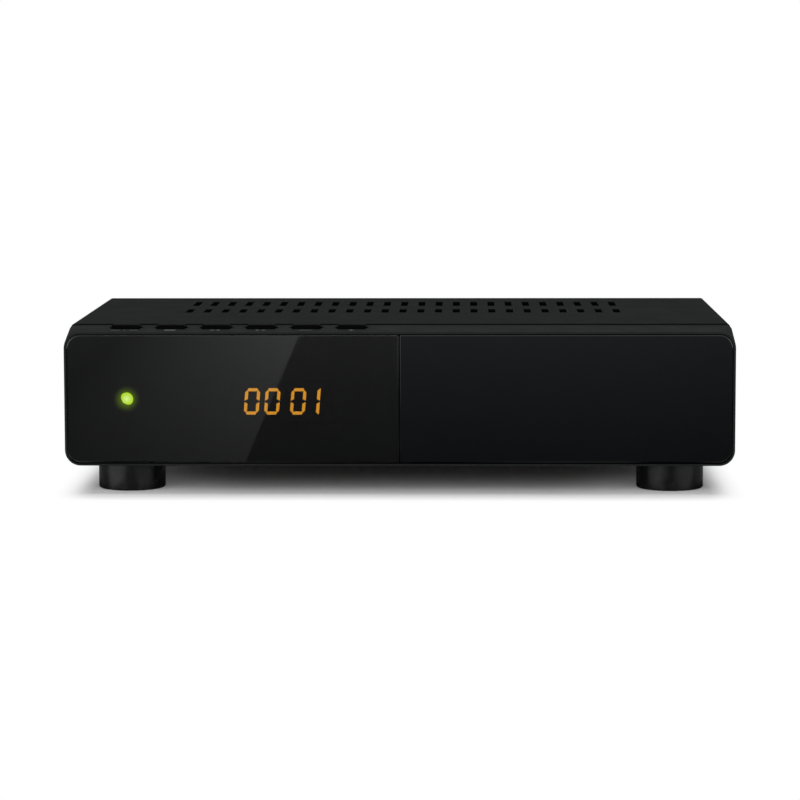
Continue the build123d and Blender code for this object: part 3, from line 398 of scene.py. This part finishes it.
def make_lamp_lens():
    """Round lens whose light is strongest in the middle."""
    green = new_finish("lamp_lens", (0.05, 0.07, 0.01), 0.35)
    seen_strength = 0.9
    shader_input(green, "Emission Strength").default_value = seen_strength / window_tint
    lens_radius = 1.5 * mm
    outwards = ramp(green, distance_from(green, lamp_centre, (1, 0, 1)), 0, lens_radius)
    blend_colours(green, outwards, (0.78, 1.0, 0.27), (0.50, 0.76, 0.02), "Emission Color")
    mottle(green, 1.0 * mm, 0.1)
    return green


def make_display_filter():
    dark = new_finish("display_filter", (0.004, 0.004, 0.004), 0.6, specular=0.1)
    mottle(dark, 3 * mm, 0.1)
    grain(dark, 0.3 * mm, 0.004 * mm)
    return dark


# %% [markdown]
# ## Inside and rear finishes
#
# Boards, cans, sockets and screws each get the finish of the real material, because they show through
# the slots, behind the flap and at the rear.

# %% Boards, metals and small parts


def make_screw_steel():
    steel = new_finish("screw_steel", (0.32, 0.32, 0.33), 0.35, metallic=1.0)
    mottle(steel, 1.5 * mm, 0.12)
    uneven_gloss(steel, 0.8 * mm, 0.28, 0.45)
    grain(steel, 0.15 * mm, 0.004 * mm)
    return steel


def make_board_laminate():
    laminate = new_finish("board_laminate", (0.010, 0.065, 0.024), 0.35, specular=0.4)
    mottle(laminate, 2.2 * mm, 0.35, detail=0.0, stretch=(1, 0.25, 1))
    uneven_gloss(laminate, 3 * mm, 0.25, 0.45)
    grain(laminate, 1.2 * mm, 0.03 * mm, detail=0.0, stretch=(0.3, 1, 1))
    return laminate


def make_plated(name, colour, gloss):
    """Plated metal: bright, with a faint cloudiness."""
    metal = new_finish(name, colour, gloss, metallic=1.0)
    mottle(metal, 3 * mm, 0.08)
    uneven_gloss(metal, 2 * mm, 0.8 * gloss, 1.3 * gloss)
    grain(metal, 0.4 * mm, 0.003 * mm)
    return metal


def make_plain_plastic(name, colour, roughness, specular=0.35):
    """Moulded plastic with a fine grain and a slightly uneven colour."""
    plastic = new_finish(name, colour, roughness, specular)
    mottle(plastic, 2 * mm, 0.08)
    uneven_gloss(plastic, 2 * mm, 0.85 * roughness, min(1.15 * roughness, 1))
    grain(plastic, 0.2 * mm, 0.004 * mm)
    return plastic


def make_heatsink_metal():
    metal = new_finish("heatsink_metal", (0.42, 0.42, 0.43), 0.45, metallic=1.0)
    mottle(metal, 1.0 * mm, 0.1, stretch=(1, 0.06, 1))
    uneven_gloss(metal, 1.0 * mm, 0.35, 0.55, stretch=(1, 0.06, 1))
    grain(metal, 0.25 * mm, 0.006 * mm, stretch=(1, 0.05, 1))
    return metal


def make_ribbon_plastic():
    """Flat cable: its cores show as fine ribs along it."""
    plastic = new_finish("ribbon_plastic", (0.35, 0.35, 0.37), 0.5)
    mottle(plastic, 4 * mm, 0.08)
    grain(plastic, 0.9 * mm, 0.12 * mm, detail=0.0, stretch=(1, 0.01, 0.01))
    return plastic


def make_rubber(name, colour):
    rubber = new_finish(name, colour, 0.85, specular=0.2)
    mottle(rubber, 1.5 * mm, 0.15)
    uneven_gloss(rubber, 1.5 * mm, 0.75, 0.95)
    grain(rubber, 0.25 * mm, 0.01 * mm)
    return rubber


def make_sign_ink():
    """Thin white ink, which the black under it makes grey."""
    ink = new_finish("sign_ink", (0.12, 0.12, 0.12), 0.7, specular=0.05)
    mottle(ink, 0.3 * mm, 0.15)
    return ink


# %% [markdown]
# ## Give each node its finish
#
# The record names a slot for every node. One table pairs each slot with its finish, and a loop assigns
# it to the node's material slots.

# %% Finishes by slot
finishes = {
    "cover_paint": make_cover_paint(),
    "tray_metal": make_tray_metal(),
    "fascia_plastic": make_fascia_plastic(),
    "flap_gloss": make_flap_gloss(),
    "smoked_window": make_smoked_window(),
    "key_plastic": make_key_plastic(),
    "lit_segments": make_lit_segments(),
    "lamp_lens": make_lamp_lens(),
    "display_filter": make_display_filter(),
    "screw_steel": make_screw_steel(),
    "board_laminate": make_board_laminate(),
    "tin_plate": make_plated("tin_plate", (0.55, 0.55, 0.53), 0.35),
    "nickel_plate": make_plated("nickel_plate", (0.62, 0.59, 0.54), 0.18),
    "crystal_can": make_plated("crystal_can", (0.60, 0.60, 0.60), 0.25),
    "heatsink_metal": make_heatsink_metal(),
    "ribbon_plastic": make_ribbon_plastic(),
    "plunger_plastic": make_plain_plastic("plunger_plastic", (0.45, 0.42, 0.34), 0.5),
    "switch_body": make_plain_plastic("switch_body", (0.010, 0.010, 0.010), 0.55),
    "header_plastic": make_plain_plastic("header_plastic", (0.70, 0.64, 0.48), 0.5),
    "insulator_plastic": make_plain_plastic("insulator_plastic", (0.62, 0.58, 0.48), 0.5),
    "socket_plastic": make_plain_plastic("socket_plastic", (0.008, 0.008, 0.008), 0.45),
    "chip_plastic": make_plain_plastic("chip_plastic", (0.014, 0.014, 0.015), 0.6),
    "infrared_lens": make_plain_plastic("infrared_lens", (0.006, 0.003, 0.005), 0.12, 0.5),
    "capacitor_sleeve": make_plain_plastic("capacitor_sleeve", (0.012, 0.013, 0.03), 0.3, 0.5),
    "inductor_ferrite": make_plain_plastic("inductor_ferrite", (0.045, 0.044, 0.044), 0.7),
    "foot_plastic": make_plain_plastic("foot_plastic", (0.003, 0.003, 0.003), 0.24, 0.42),
    "sign_ink": make_sign_ink(),
    "thermal_rubber": make_rubber("thermal_rubber", (0.32, 0.32, 0.34)),
    "pad_rubber": make_rubber("pad_rubber", (0.008, 0.008, 0.008)),
}


def dress(piece, slot):
    """Puts the slot's finish on a piece."""
    piece.data.materials.clear()
    piece.data.materials.append(finishes[slot])


for node, piece in frame["nodes"].items():
    dress(piece, slot_of[node])
print(len(finishes), "finishes on", len(frame["nodes"]), "nodes")

# %% [markdown]
# ## Smooth shells
#
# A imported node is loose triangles, which is right for flat sheet metal and shows small facets on round
# edges. A copy with its points merged can be shaded smooth. Edges that turn by more than a limit stay
# sharp, and the weighted normals keep the large flat faces flat right up to their rounded edges.

# %% Merged copies of the curved nodes
merge_distance = 0.0005 * mm
sharp_turn = radians(28)


def merged_copy(node):
    """Bmesh of a node with its points merged."""
    shell = bmesh.new()
    shell.from_mesh(frame["nodes"][node].data)
    bmesh.ops.remove_doubles(shell, verts=shell.verts, dist=merge_distance)
    return shell


def finish_piece(shell, name, node_names, slot=None, smooth=True, body=None):
    """Makes an object of a bmesh. It stands for the named nodes, if any, and moves with a body."""
    if smooth:
        for face in shell.faces:
            face.smooth = True
        for edge in shell.edges:
            edge.smooth = edge.calc_face_angle(0) < sharp_turn
    mesh = bpy.data.meshes.new(name)
    shell.to_mesh(mesh)
    shell.free()
    piece = bpy.data.objects.new(name, mesh)
    bpy.context.scene.collection.objects.link(piece)
    slot = slot or slot_of[node_names[0]]
    dress(piece, slot)
    if smooth:
        weighted = piece.modifiers.new("flat_faces", "WEIGHTED_NORMAL")
        weighted.keep_sharp = True
        weighted.weight = 100
    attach(piece, body or body_of[node_names[0]])
    if node_names:
        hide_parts(*node_names)
    return piece


curved_nodes = [
    "top_cover", "aerial_socket", "audio_socket_sleeve", "power_lamp", "infrared_receiver", "capacitors",
    "crystal", "ribbon_cable", "flap_hinge_pins", "dc_inlet", "dc_inlet_pin", "digital_audio_socket",
    "foot_pads", "base_tray", *keys,
]
for node in curved_nodes:
    finish_piece(merged_copy(node), node + "_shell", [node])
print(len(curved_nodes), "nodes stand as smooth shells")

# %% [markdown]
# ## Fascia
#
# On the finished box the top of the fascia ends a hair below the sheet of the cover, so that a fine dark
# line parts the two, and its rear corners are softer than the square corners of the cover. The points of
# the merged copy are moved for that: up at the front, down at the rear, and onto an arc at the corners.
# The thin rim that is seen round the window and the flap grows inwards a little at the sides and the top.

# %% Moving the points of the fascia
slope_rise = 1.5 * mm  # of the sloping top of the CAD fascia
slope_length = 11.6 * mm
front_lift = 0.32 * mm
rear_drop = 0.27 * mm
corner_radius_front = 4.0 * mm
corner_radius_rear = 1.7 * mm
rim_width = 0.45 * mm  # of the CAD fascia
rim_growth_sides = 0.15 * mm
rim_growth_top = 0.04 * mm
rim_tolerance = 0.1 * mm
seat_depth = 3.1 * mm
lift_zone = (36 * mm, 39.5 * mm)  # heights between which the lift of the top edge sets in
narrowing_zone = (80 * mm, 83 * mm)  # the same for the narrowing of the sides
fascia_low, fascia_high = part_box("fascia_frame")


def side_of(place):
    """1 on the right side and -1 on the left."""
    return 1 if place > 0 else -1


def smooth_share(value, start, end):
    """0 before the start, 1 after the end, and a smooth rise between them."""
    share = min(max((value - start) / (end - start), 0), 1)
    return share * share * (3 - 2 * share)


def widen_rim(point, half_width, bottom, top, radius):
    """Moves a point of the seat's wall inwards, straight or towards the middle of its corner."""
    side = side_of(point.co.x)
    level = 1 if point.co.z > (bottom + top) / 2 else -1
    across = side * point.co.x - (half_width - radius)
    upwards = level * (point.co.z - (bottom + top) / 2) - ((top - bottom) / 2 - radius)
    if across > 0 and upwards > 0:
        reach = hypot(across, upwards)
        outwards = (across / reach, upwards / reach)
    elif across > upwards:
        reach, outwards = across, (1, 0)
    else:
        reach, outwards = upwards, (0, 1)
    if abs(radius - reach - rim_width) < rim_tolerance:
        upright_growth = rim_growth_top if level == 1 else 0
        growth = rim_growth_sides * outwards[0] ** 2 + upright_growth * outwards[1] ** 2
        point.co.x -= side * outwards[0] * growth
        point.co.z -= level * outwards[1] * growth


def move_to_arc(point, half_width, top, radius):
    """Brings a point that lies outside a rounded corner onto its arc."""
    side = side_of(point.co.x)
    across = side * point.co.x - (half_width - radius)
    upwards = point.co.z - (top - radius)
    reach = hypot(across, upwards)
    if across > 0 and upwards > 0 and reach > radius:
        point.co.x = side * (half_width - radius + across * radius / reach)
        point.co.z = top - radius + upwards * radius / reach


# %% Softer fascia
fascia = merged_copy("fascia_frame")
skin_end = slope_length + 0.05 * mm
half_width = fascia_high.x
rear_narrowing = half_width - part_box("top_cover")[1].x
front_top = fascia_high.z - slope_rise
for point in fascia.verts:
    depth = point.co.y - fascia_low.y
    if depth < seat_depth:
        widen_rim(point, half_width, fascia_low.z, front_top, corner_radius_front)
    if depth < skin_end:
        share = depth / slope_length
        raised = front_lift - (front_lift + rear_drop) * share
        point.co.z += smooth_share(point.co.z, *lift_zone) * raised
        near_side = smooth_share(abs(point.co.x), *narrowing_zone)
        point.co.x += near_side * rear_narrowing * share * side_of(point.co.x)
        top = fascia_high.z - slope_rise * (1 - share) + raised
        radius = corner_radius_front + (corner_radius_rear - corner_radius_front) * share
        move_to_arc(point, half_width, top, radius)
print("fascia with", len(fascia.verts), "points")
finish_piece(fascia, "fascia_shell", ["fascia_frame"])

# %% [markdown]
# ## Display window and flap
#
# Both plates fill their seats in the fascia with a fine gap all round. Their top edges follow the lifted
# rim, their lower edges lie in one line, and at the seam they come close together. The window lies flat
# on its seat, and two surfaces at the same depth would flicker against each other, so its back comes
# forward by a hair. Its front edge is broken by a small bevel, which makes a fine line of light there.

# %% Window and flap with fine gaps
hair = 0.05 * mm
seam_gap = 0.14 * mm
edge_drop = 0.15 * mm  # as low as the swing of the flap allows
lower_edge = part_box("front_flap")[0].z - edge_drop
window_bevel = 0.14 * mm
bevelled_turn = radians(60)


def fit_plate(plate, node):
    """Moves the edges of a plate: up with the rim, to one lower edge, and in towards the seam."""
    low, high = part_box(node)
    near = 0.6 * mm
    for point in plate.verts:
        point.co.z += front_lift * smooth_share(point.co.z, *lift_zone)
        if point.co.z < low.z + near:
            point.co.z += lower_edge - low.z
        if abs(point.co.x) < near:
            point.co.x += (seam_gap / 2 - min(abs(low.x), abs(high.x))) * side_of(point.co.x)


window = merged_copy("display_window")
fit_plate(window, "display_window")
window_front, window_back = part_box("display_window")[0].y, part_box("display_window")[1].y
for point in window.verts:
    if point.co.y > window_back - hair:
        point.co.y -= hair
front_edges = [
    edge for edge in window.edges
    if all(point.co.y < window_front + hair for point in edge.verts)
    and edge.calc_face_angle(0) > bevelled_turn
]
bmesh.ops.bevel(
    window, geom=front_edges, offset=window_bevel, offset_type="OFFSET", segments=2, profile=0.5,
    affect="EDGES", material=-1,
)
print("window edges with a bevel:", len(front_edges))
finish_piece(window, "display_window_plate", ["display_window"])

flap = merged_copy("front_flap")
fit_plate(flap, "front_flap")
finish_piece(flap, "front_flap_plate", ["front_flap"])

# %% [markdown]
# ## Feet
#
# Each foot is a turned plastic cylinder that keeps its full width almost down to the floor. The copy of
# the CAD feet gets its lower edge drawn down and outwards, which leaves only a small bevel there.

# %% Feet with a small lower bevel
foot_radius = 8.5 * mm
foot_clearance = 0.05 * mm
pad_radius = 6.6 * mm  # only the underside outside the rubber pad is drawn down
bevel_reach = 7.4 * mm  # outside this radius lie the points of the old bevel
old_bevel = 0.8 * mm
new_bevel = 0.35 * mm
height_tolerance = 0.01 * mm
feet = merged_copy("feet")
feet_low, feet_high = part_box("feet")
foot_columns = (feet_low.x + foot_radius, feet_high.x - foot_radius)
foot_rows = (feet_low.y + foot_radius, feet_high.y - foot_radius)
for point in feet.verts:
    centre = Vector((
        min(foot_columns, key=lambda x: abs(x - point.co.x)),
        min(foot_rows, key=lambda y: abs(y - point.co.y)),
        point.co.z,
    ))
    outwards = point.co - centre
    height = point.co.z - feet_low.z
    if outwards.length > pad_radius and height < old_bevel + height_tolerance:
        if outwards.length > bevel_reach:
            radius = foot_radius - (foot_radius - outwards.length) * new_bevel / old_bevel
            point.co = centre + outwards.normalized() * radius
        point.co.z = foot_clearance + height * new_bevel / old_bevel
print("feet with", len(feet.verts), "points")
finish_piece(feet, "feet_turned", ["feet"])

# %% [markdown]
# ## Signs at the keys
#
# In front of each key a small sign is printed on the sloping top of the fascia. The signs are plain
# marks that any player or receiver could have. Each is a few flat bars or triangles, laid on the slope
# and given the thickness of ink.

# %% Drawing with bars and triangles
sign_height = 1.4 * mm
sign_depth = 3.3 * mm  # from the front of the fascia to the middle of the signs
ink_thickness = 0.03 * mm
line_width = 0.28 * mm


def draw_bar(ink, x, y, length, width):
    """Rectangle with its middle at a place."""
    corners = bmesh.ops.create_grid(ink, x_segments=1, y_segments=1, size=0.5)["verts"]
    bmesh.ops.scale(ink, verts=corners, vec=(length, width, 1))
    bmesh.ops.translate(ink, verts=corners, vec=(x, y, 0))


def draw_triangle(ink, x, y, radius, turn):
    """Triangle that points along +X when its turn is 0."""
    corners = bmesh.ops.create_circle(ink, cap_ends=True, radius=radius, segments=3)["verts"]
    bmesh.ops.rotate(ink, verts=corners, cent=(0, 0, 0), matrix=Matrix.Rotation(turn - pi / 2, 3, "Z"))
    bmesh.ops.translate(ink, verts=corners, vec=(x, y, 0))


# %% Six plain signs
half_sign = sign_height / 2


def sign_standby(ink, x):
    side_bar, side_step = 2.2 * mm, 2.3 * mm
    draw_bar(ink, x, 0, line_width, half_sign)
    for side in (-1, 1):
        draw_bar(ink, x + side * side_step, 0, side_bar, line_width)


def sign_list(ink, x):
    list_bar = 2.8 * mm
    for row in (-1, 0, 1):
        draw_bar(ink, x, row * (half_sign - line_width / 2), list_bar, line_width)


def sign_arrows(ink, x, turn):
    arrow_step = 0.75 * mm
    for side in (-1, 1):
        draw_triangle(ink, x + side * arrow_step, 0, half_sign, turn)


def sign_minus(ink, x):
    minus_bar = 3.4 * mm
    draw_bar(ink, x, 0, minus_bar, line_width)


def sign_plus(ink, x):
    draw_bar(ink, x, 0, half_sign * 2, line_width)
    for side in (-1, 1):
        draw_bar(ink, x, side * (half_sign + line_width) / 2, line_width, half_sign - line_width)


signs = bmesh.new()
key_middles = [(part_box(key)[0].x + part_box(key)[1].x) / 2 for key in keys]
sign_standby(signs, key_middles[0])
sign_list(signs, key_middles[1])
sign_arrows(signs, key_middles[2], pi)
sign_arrows(signs, key_middles[3], 0)
sign_minus(signs, key_middles[4])
sign_plus(signs, key_middles[5])
print("signs at", [round(middle / mm, 1) for middle in key_middles], "mm")

# %% Laid on the slope
seen_rise = slope_rise - front_lift - rear_drop
slope_turn = Matrix.Rotation(atan2(seen_rise, slope_length), 4, "X")
slope_middle = Vector((
    0, fascia_low.y + sign_depth, fascia_high.z - rear_drop - seen_rise * (1 - sign_depth / slope_length),
))
bmesh.ops.solidify(signs, geom=signs.faces[:], thickness=ink_thickness)
bmesh.ops.recalc_face_normals(signs, faces=signs.faces)
bmesh.ops.transform(signs, matrix=Matrix.Translation(slope_middle) @ slope_turn, verts=signs.verts)
signs_low = min((slope_turn.inverted() @ (point.co - slope_middle)).z for point in signs.verts)
sunk_share = 1 / 3  # of the ink lies in the plastic
lift = slope_turn @ Vector((0, 0, -signs_low - ink_thickness * sunk_share))
bmesh.ops.translate(signs, verts=signs.verts, vec=lift)
print("signs", len(signs.faces), "faces,", sum(not edge.is_manifold for edge in signs.edges), "open edges")
finish_piece(signs, "key_signs", [], slot="sign_ink", smooth=False, body=body_of["fascia_frame"])

# %% [markdown]
# ## Background
#
# The background is white, as in a catalogue. A white world that lit the box would bleach it, so only
# camera, mirror and glass rays see the white, and all other rays meet a weaker, even fill.

# %% Background
world = bpy.data.worlds.new("white_studio")
bpy.context.scene.world = world
world.use_nodes = True
sky_tree = world.node_tree
sky_tree.nodes.clear()
white_strength = 1.0
fill_strength = 0.45
white_seen = sky_tree.nodes.new("ShaderNodeBackground")
white_seen.inputs["Strength"].default_value = white_strength
soft_fill = sky_tree.nodes.new("ShaderNodeBackground")
soft_fill.inputs["Strength"].default_value = fill_strength
for background in (white_seen, soft_fill):
    background.inputs["Color"].default_value = (1, 1, 1, 1)


def seen_directly(tree):
    """Socket that is 1 for camera, glossy and transmission rays."""
    path = tree.nodes.new("ShaderNodeLightPath")
    strongest = path.outputs["Is Camera Ray"]
    for name in ("Is Glossy Ray", "Is Transmission Ray"):
        larger = tree.nodes.new("ShaderNodeMath")
        larger.operation = "MAXIMUM"
        tree.links.new(strongest, larger.inputs[0])
        tree.links.new(path.outputs[name], larger.inputs[1])
        strongest = larger.outputs[0]
    return strongest


sky_mix = sky_tree.nodes.new("ShaderNodeMixShader")
sky_output = sky_tree.nodes.new("ShaderNodeOutputWorld")
sky_tree.links.new(seen_directly(sky_tree), sky_mix.inputs[0])
sky_tree.links.new(soft_fill.outputs[0], sky_mix.inputs[1])
sky_tree.links.new(white_seen.outputs[0], sky_mix.inputs[2])
sky_tree.links.new(sky_mix.outputs[0], sky_output.inputs[0])
print("world seen at", white_strength, "and lighting at", fill_strength)

# %% [markdown]
# ## Floor
#
# The floor is pale and catches a soft shadow close to the box. Further out it fades into the white of
# the background. More light would whiten it too, and the box with it, so the fade is worked out from the
# distance to the footprint of the box.

# %% Helpers for the floor


def add_sheet(name, width, near, far, height):
    """Flat sheet that faces upwards, between two places along Y."""
    shape = bmesh.new()
    bmesh.ops.create_grid(shape, x_segments=1, y_segments=1, size=0.5)
    bmesh.ops.scale(shape, vec=(width, near - far, 1), verts=shape.verts)
    bmesh.ops.translate(shape, vec=(0, (near + far) / 2, height), verts=shape.verts)
    mesh = bpy.data.meshes.new(name)
    shape.to_mesh(mesh)
    shape.free()
    sheet = bpy.data.objects.new(name, mesh)
    bpy.context.scene.collection.objects.link(sheet)
    return sheet


def place_along(material, axis):
    """Place on the sheet along X or Y."""
    split = add_node(material, "ShaderNodeSeparateXYZ")
    wire(material, material.node_tree.nodes["Place"].outputs["Object"], split.inputs[0])
    return split.outputs[axis]


def distance_beside_feet(material):
    """Distance along X from the middle of the nearer feet."""
    sideways = calculate(material, "ABSOLUTE", place_along(material, "X"))
    return calculate(material, "ABSOLUTE", calculate(material, "SUBTRACT", sideways, foot_columns[1]))


def blend_values(material, share, first, second):
    """Goes from the first value to the second with a share."""
    return calculate(material, "MULTIPLY_ADD", share, calculate(material, "SUBTRACT", second, first), first)


# %% Floor
floor_half = 4.0
shadow_half_width = cad_box[1].x - 8.3 * mm
shadow_half_depth = cad_box[1].y + 1.5 * mm
shadow_fade = 12 * mm
painted_light_along = (6 * mm, 46 * mm)  # from the middle of the box along Y, from no white to all of it
painted_light_beside_feet = (9 * mm, 32 * mm, 0.09, 0.028)  # start, end, and the share of white at both

floor = add_sheet("floor", 2 * floor_half, floor_half, -floor_half, 0)


def make_floor_finish():
    """Pale diffuse floor that turns white away from the footprint of the box. A little white is added
    under its edge as painted light that lifts the shadow, most beside the feet."""
    material = new_finish("floor_white", (0.9, 0.9, 0.9), 1.0, specular=0.0)
    tree = material.node_tree
    outside = []
    for axis, half in (("X", shadow_half_width), ("Y", shadow_half_depth)):
        from_middle = calculate(material, "ABSOLUTE", place_along(material, axis))
        past_edge = calculate(material, "MAXIMUM", calculate(material, "SUBTRACT", from_middle, half), 0.0)
        outside.append(calculate(material, "POWER", past_edge, 2.0))
    distance = calculate(material, "SQRT", calculate(material, "ADD", *outside))
    # Painted light that lifts the shadow under the edge of the box, most beside the feet.
    painted_light_in_shadow = calculate(
        material, "MULTIPLY",
        ramp(material, calculate(material, "ABSOLUTE", place_along(material, "Y")), *painted_light_along),
        ramp(material, distance_beside_feet(material), *painted_light_beside_feet),
    )
    lit = calculate(material, "MAXIMUM", ramp(material, distance, 0, shadow_fade), painted_light_in_shadow)
    share = calculate(material, "MULTIPLY", lit, seen_directly(tree))
    white = add_node(material, "ShaderNodeEmission", {"Color": (1, 1, 1, 1), "Strength": white_strength})
    mix = add_node(material, "ShaderNodeMixShader")
    wire(material, share, mix.inputs[0])
    wire(material, tree.nodes["Principled BSDF"].outputs[0], mix.inputs[1])
    wire(material, white.outputs[0], mix.inputs[2])
    wire(material, mix.outputs[0], tree.nodes["Material Output"].inputs["Surface"])
    return material


floor.data.materials.append(make_floor_finish())
print("floor", 2 * floor_half, "m wide")

# %% [markdown]
# ## What the gloss mirrors
#
# The window and the flap are gloss plates. A mirror image of a bare white floor would make them grey, so
# a studio lays a dark graded card in front of such plates, and a brighter one beside it, whose edge
# gives the window its slanting line of light. Close to the box a pale strip of floor is left bare, with
# a dark bar in front of each foot, where the camera stands, and under and beside the box the card is
# dark, as painted shade for the floor there. Only mirror rays see the cards, which are one sheet here.
# Far out they are as white as the floor.

# %% Graded cards
card_near = 60 * mm
card_far = -3.0
card_half_width = 2.0
card_height = 0.2 * mm

cards = add_sheet("graded_cards", 2 * card_half_width, card_near, card_far, card_height)
for ray in ("camera", "diffuse", "transmission", "volume_scatter", "shadow"):
    setattr(cards, "visible_" + ray, False)

# %% [markdown]
# ## Tones of the cards
#
# The tones are ramps along X or Y, because a ramp has no seam that the gloss could show. Each is given by
# its start, its end, and its values at both, which are 0 and 1 where they are left out.

# %% Tones of the cards
tone_growth, tone_at_middle = -0.45, 0.041  # of the dark card, per metre along Y and at Y = 0
card_edge_near = (-43.0 * mm, -117 * mm)  # X and Y of a point on the edge of the bright card
card_edge_far = (-49.0 * mm, -514 * mm)
edge_blur = (-0.2 * mm, 0.2 * mm)
bright_card = (0, 70 * mm, 3.2, 0.95)  # against the dark card, from the edge to the left
right_fade = (40 * mm, 200 * mm, 1.0, 0.75)
strip_start = (-104 * mm, -97 * mm)
strip_left = (-82 * mm, -74 * mm, 0.78, 0.25)
strip_right = (-30 * mm, 30 * mm, 0, 0.15)
strip_middle = (10 * mm, 40 * mm, 0.15, 1.0)  # outwards from X = 0
foot_bars = (5 * mm, 12 * mm, 0.1, 1.0)  # outwards from the middle of each foot
shade_start_under_box = (-53 * mm, -47 * mm)
shade_ramp_beside_box = (cad_box[1].x - 4 * mm, cad_box[1].x + 6 * mm, 0.01, 0.12)
white_start = (0.7, 2.0)  # outwards from the middle of the box


def make_card_light():
    """Tone that grows with the distance from the box, and is brighter left of the edge."""
    material = new_finish("card_light", (0, 0, 0), 1.0, specular=0.0)
    across, along = place_along(material, "X"), place_along(material, "Y")
    sideways = calculate(material, "ABSOLUTE", across)

    tone = calculate(material, "MULTIPLY_ADD", along, tone_growth, tone_at_middle)
    slant = (card_edge_far[0] - card_edge_near[0]) / (card_edge_far[1] - card_edge_near[1])
    edge = calculate(material, "MULTIPLY_ADD", along, slant, card_edge_near[0] - slant * card_edge_near[1])
    left_of_edge = calculate(material, "SUBTRACT", edge, across)
    brightness = ramp(material, left_of_edge, *bright_card, smooth=False)
    gain = blend_values(material, ramp(material, left_of_edge, *edge_blur), 1.0, brightness)
    graded = calculate(material, "MULTIPLY", tone, gain)
    graded = calculate(material, "MULTIPLY", graded, ramp(material, across, *right_fade))

    strip = calculate(
        material, "ADD", ramp(material, across, *strip_left), ramp(material, across, *strip_right)
    )
    strip = calculate(material, "MULTIPLY", strip, ramp(material, sideways, *strip_middle))
    strip = calculate(material, "MULTIPLY", ramp(material, distance_beside_feet(material), *foot_bars), strip)
    # Painted shade: under and beside the box the card is dark, for the shaded floor there as the gloss sees
    # it.
    painted_shade_under_box = ramp(material, sideways, *shade_ramp_beside_box)
    strip = blend_values(material, ramp(material, along, *shade_start_under_box), strip, painted_shade_under_box)
    graded = blend_values(material, ramp(material, along, *strip_start), graded, strip)

    far_out = ramp(material, distance_from(material, (0, 0, 0), (1, 1, 0)), *white_start)
    glow = add_node(material, "ShaderNodeEmission", {"Color": (0.97, 0.99, 1.0, 1)})
    wire(material, blend_values(material, far_out, graded, 1.0), glow.inputs["Strength"])
    wire(material, glow.outputs[0], material.node_tree.nodes["Material Output"].inputs["Surface"])
    return material


cards.data.materials.append(make_card_light())
print("cards from Y =", card_far, "to", card_near, "m")

# %% [markdown]
# ## Softboxes
#
# Black plastic needs large, weak lamps, because a small one would show as a hot spot. One hangs above the
# box, one stands in front and one at each side. The front one would show in the plates, so the gloss
# doesn't mirror it.

# %% Softboxes


def add_softbox(name, place, aim, width, height, power, mirrored=True):
    """Rectangular lamp that points at a spot. Gloss shows it only if it is mirrored."""
    lamp = bpy.data.lights.new(name, "AREA")
    lamp.shape = "RECTANGLE"
    lamp.size = width
    lamp.size_y = height
    lamp.energy = power
    softbox = bpy.data.objects.new(name, lamp)
    softbox.location = place
    softbox.rotation_euler = (Vector(aim) - Vector(place)).to_track_quat("-Z", "Y").to_euler()
    softbox.visible_glossy = mirrored
    bpy.context.scene.collection.objects.link(softbox)


box_middle = (0, 0, 20 * mm)
add_softbox("top_softbox", (0, 0.1, 1.2), (0, 0, 0), width=1.2, height=1.0, power=8.0)
add_softbox("front_softbox", (0, -0.9, 0.45), (0, 0, 0), width=1.2, height=0.5, power=3.4, mirrored=False)
add_softbox("left_softbox", (-1.0, -0.84, 0.30), box_middle, width=1.3, height=0.7, power=7)
add_softbox("right_softbox", (1.0, -0.84, 0.30), box_middle, width=1.3, height=0.7, power=3.9)
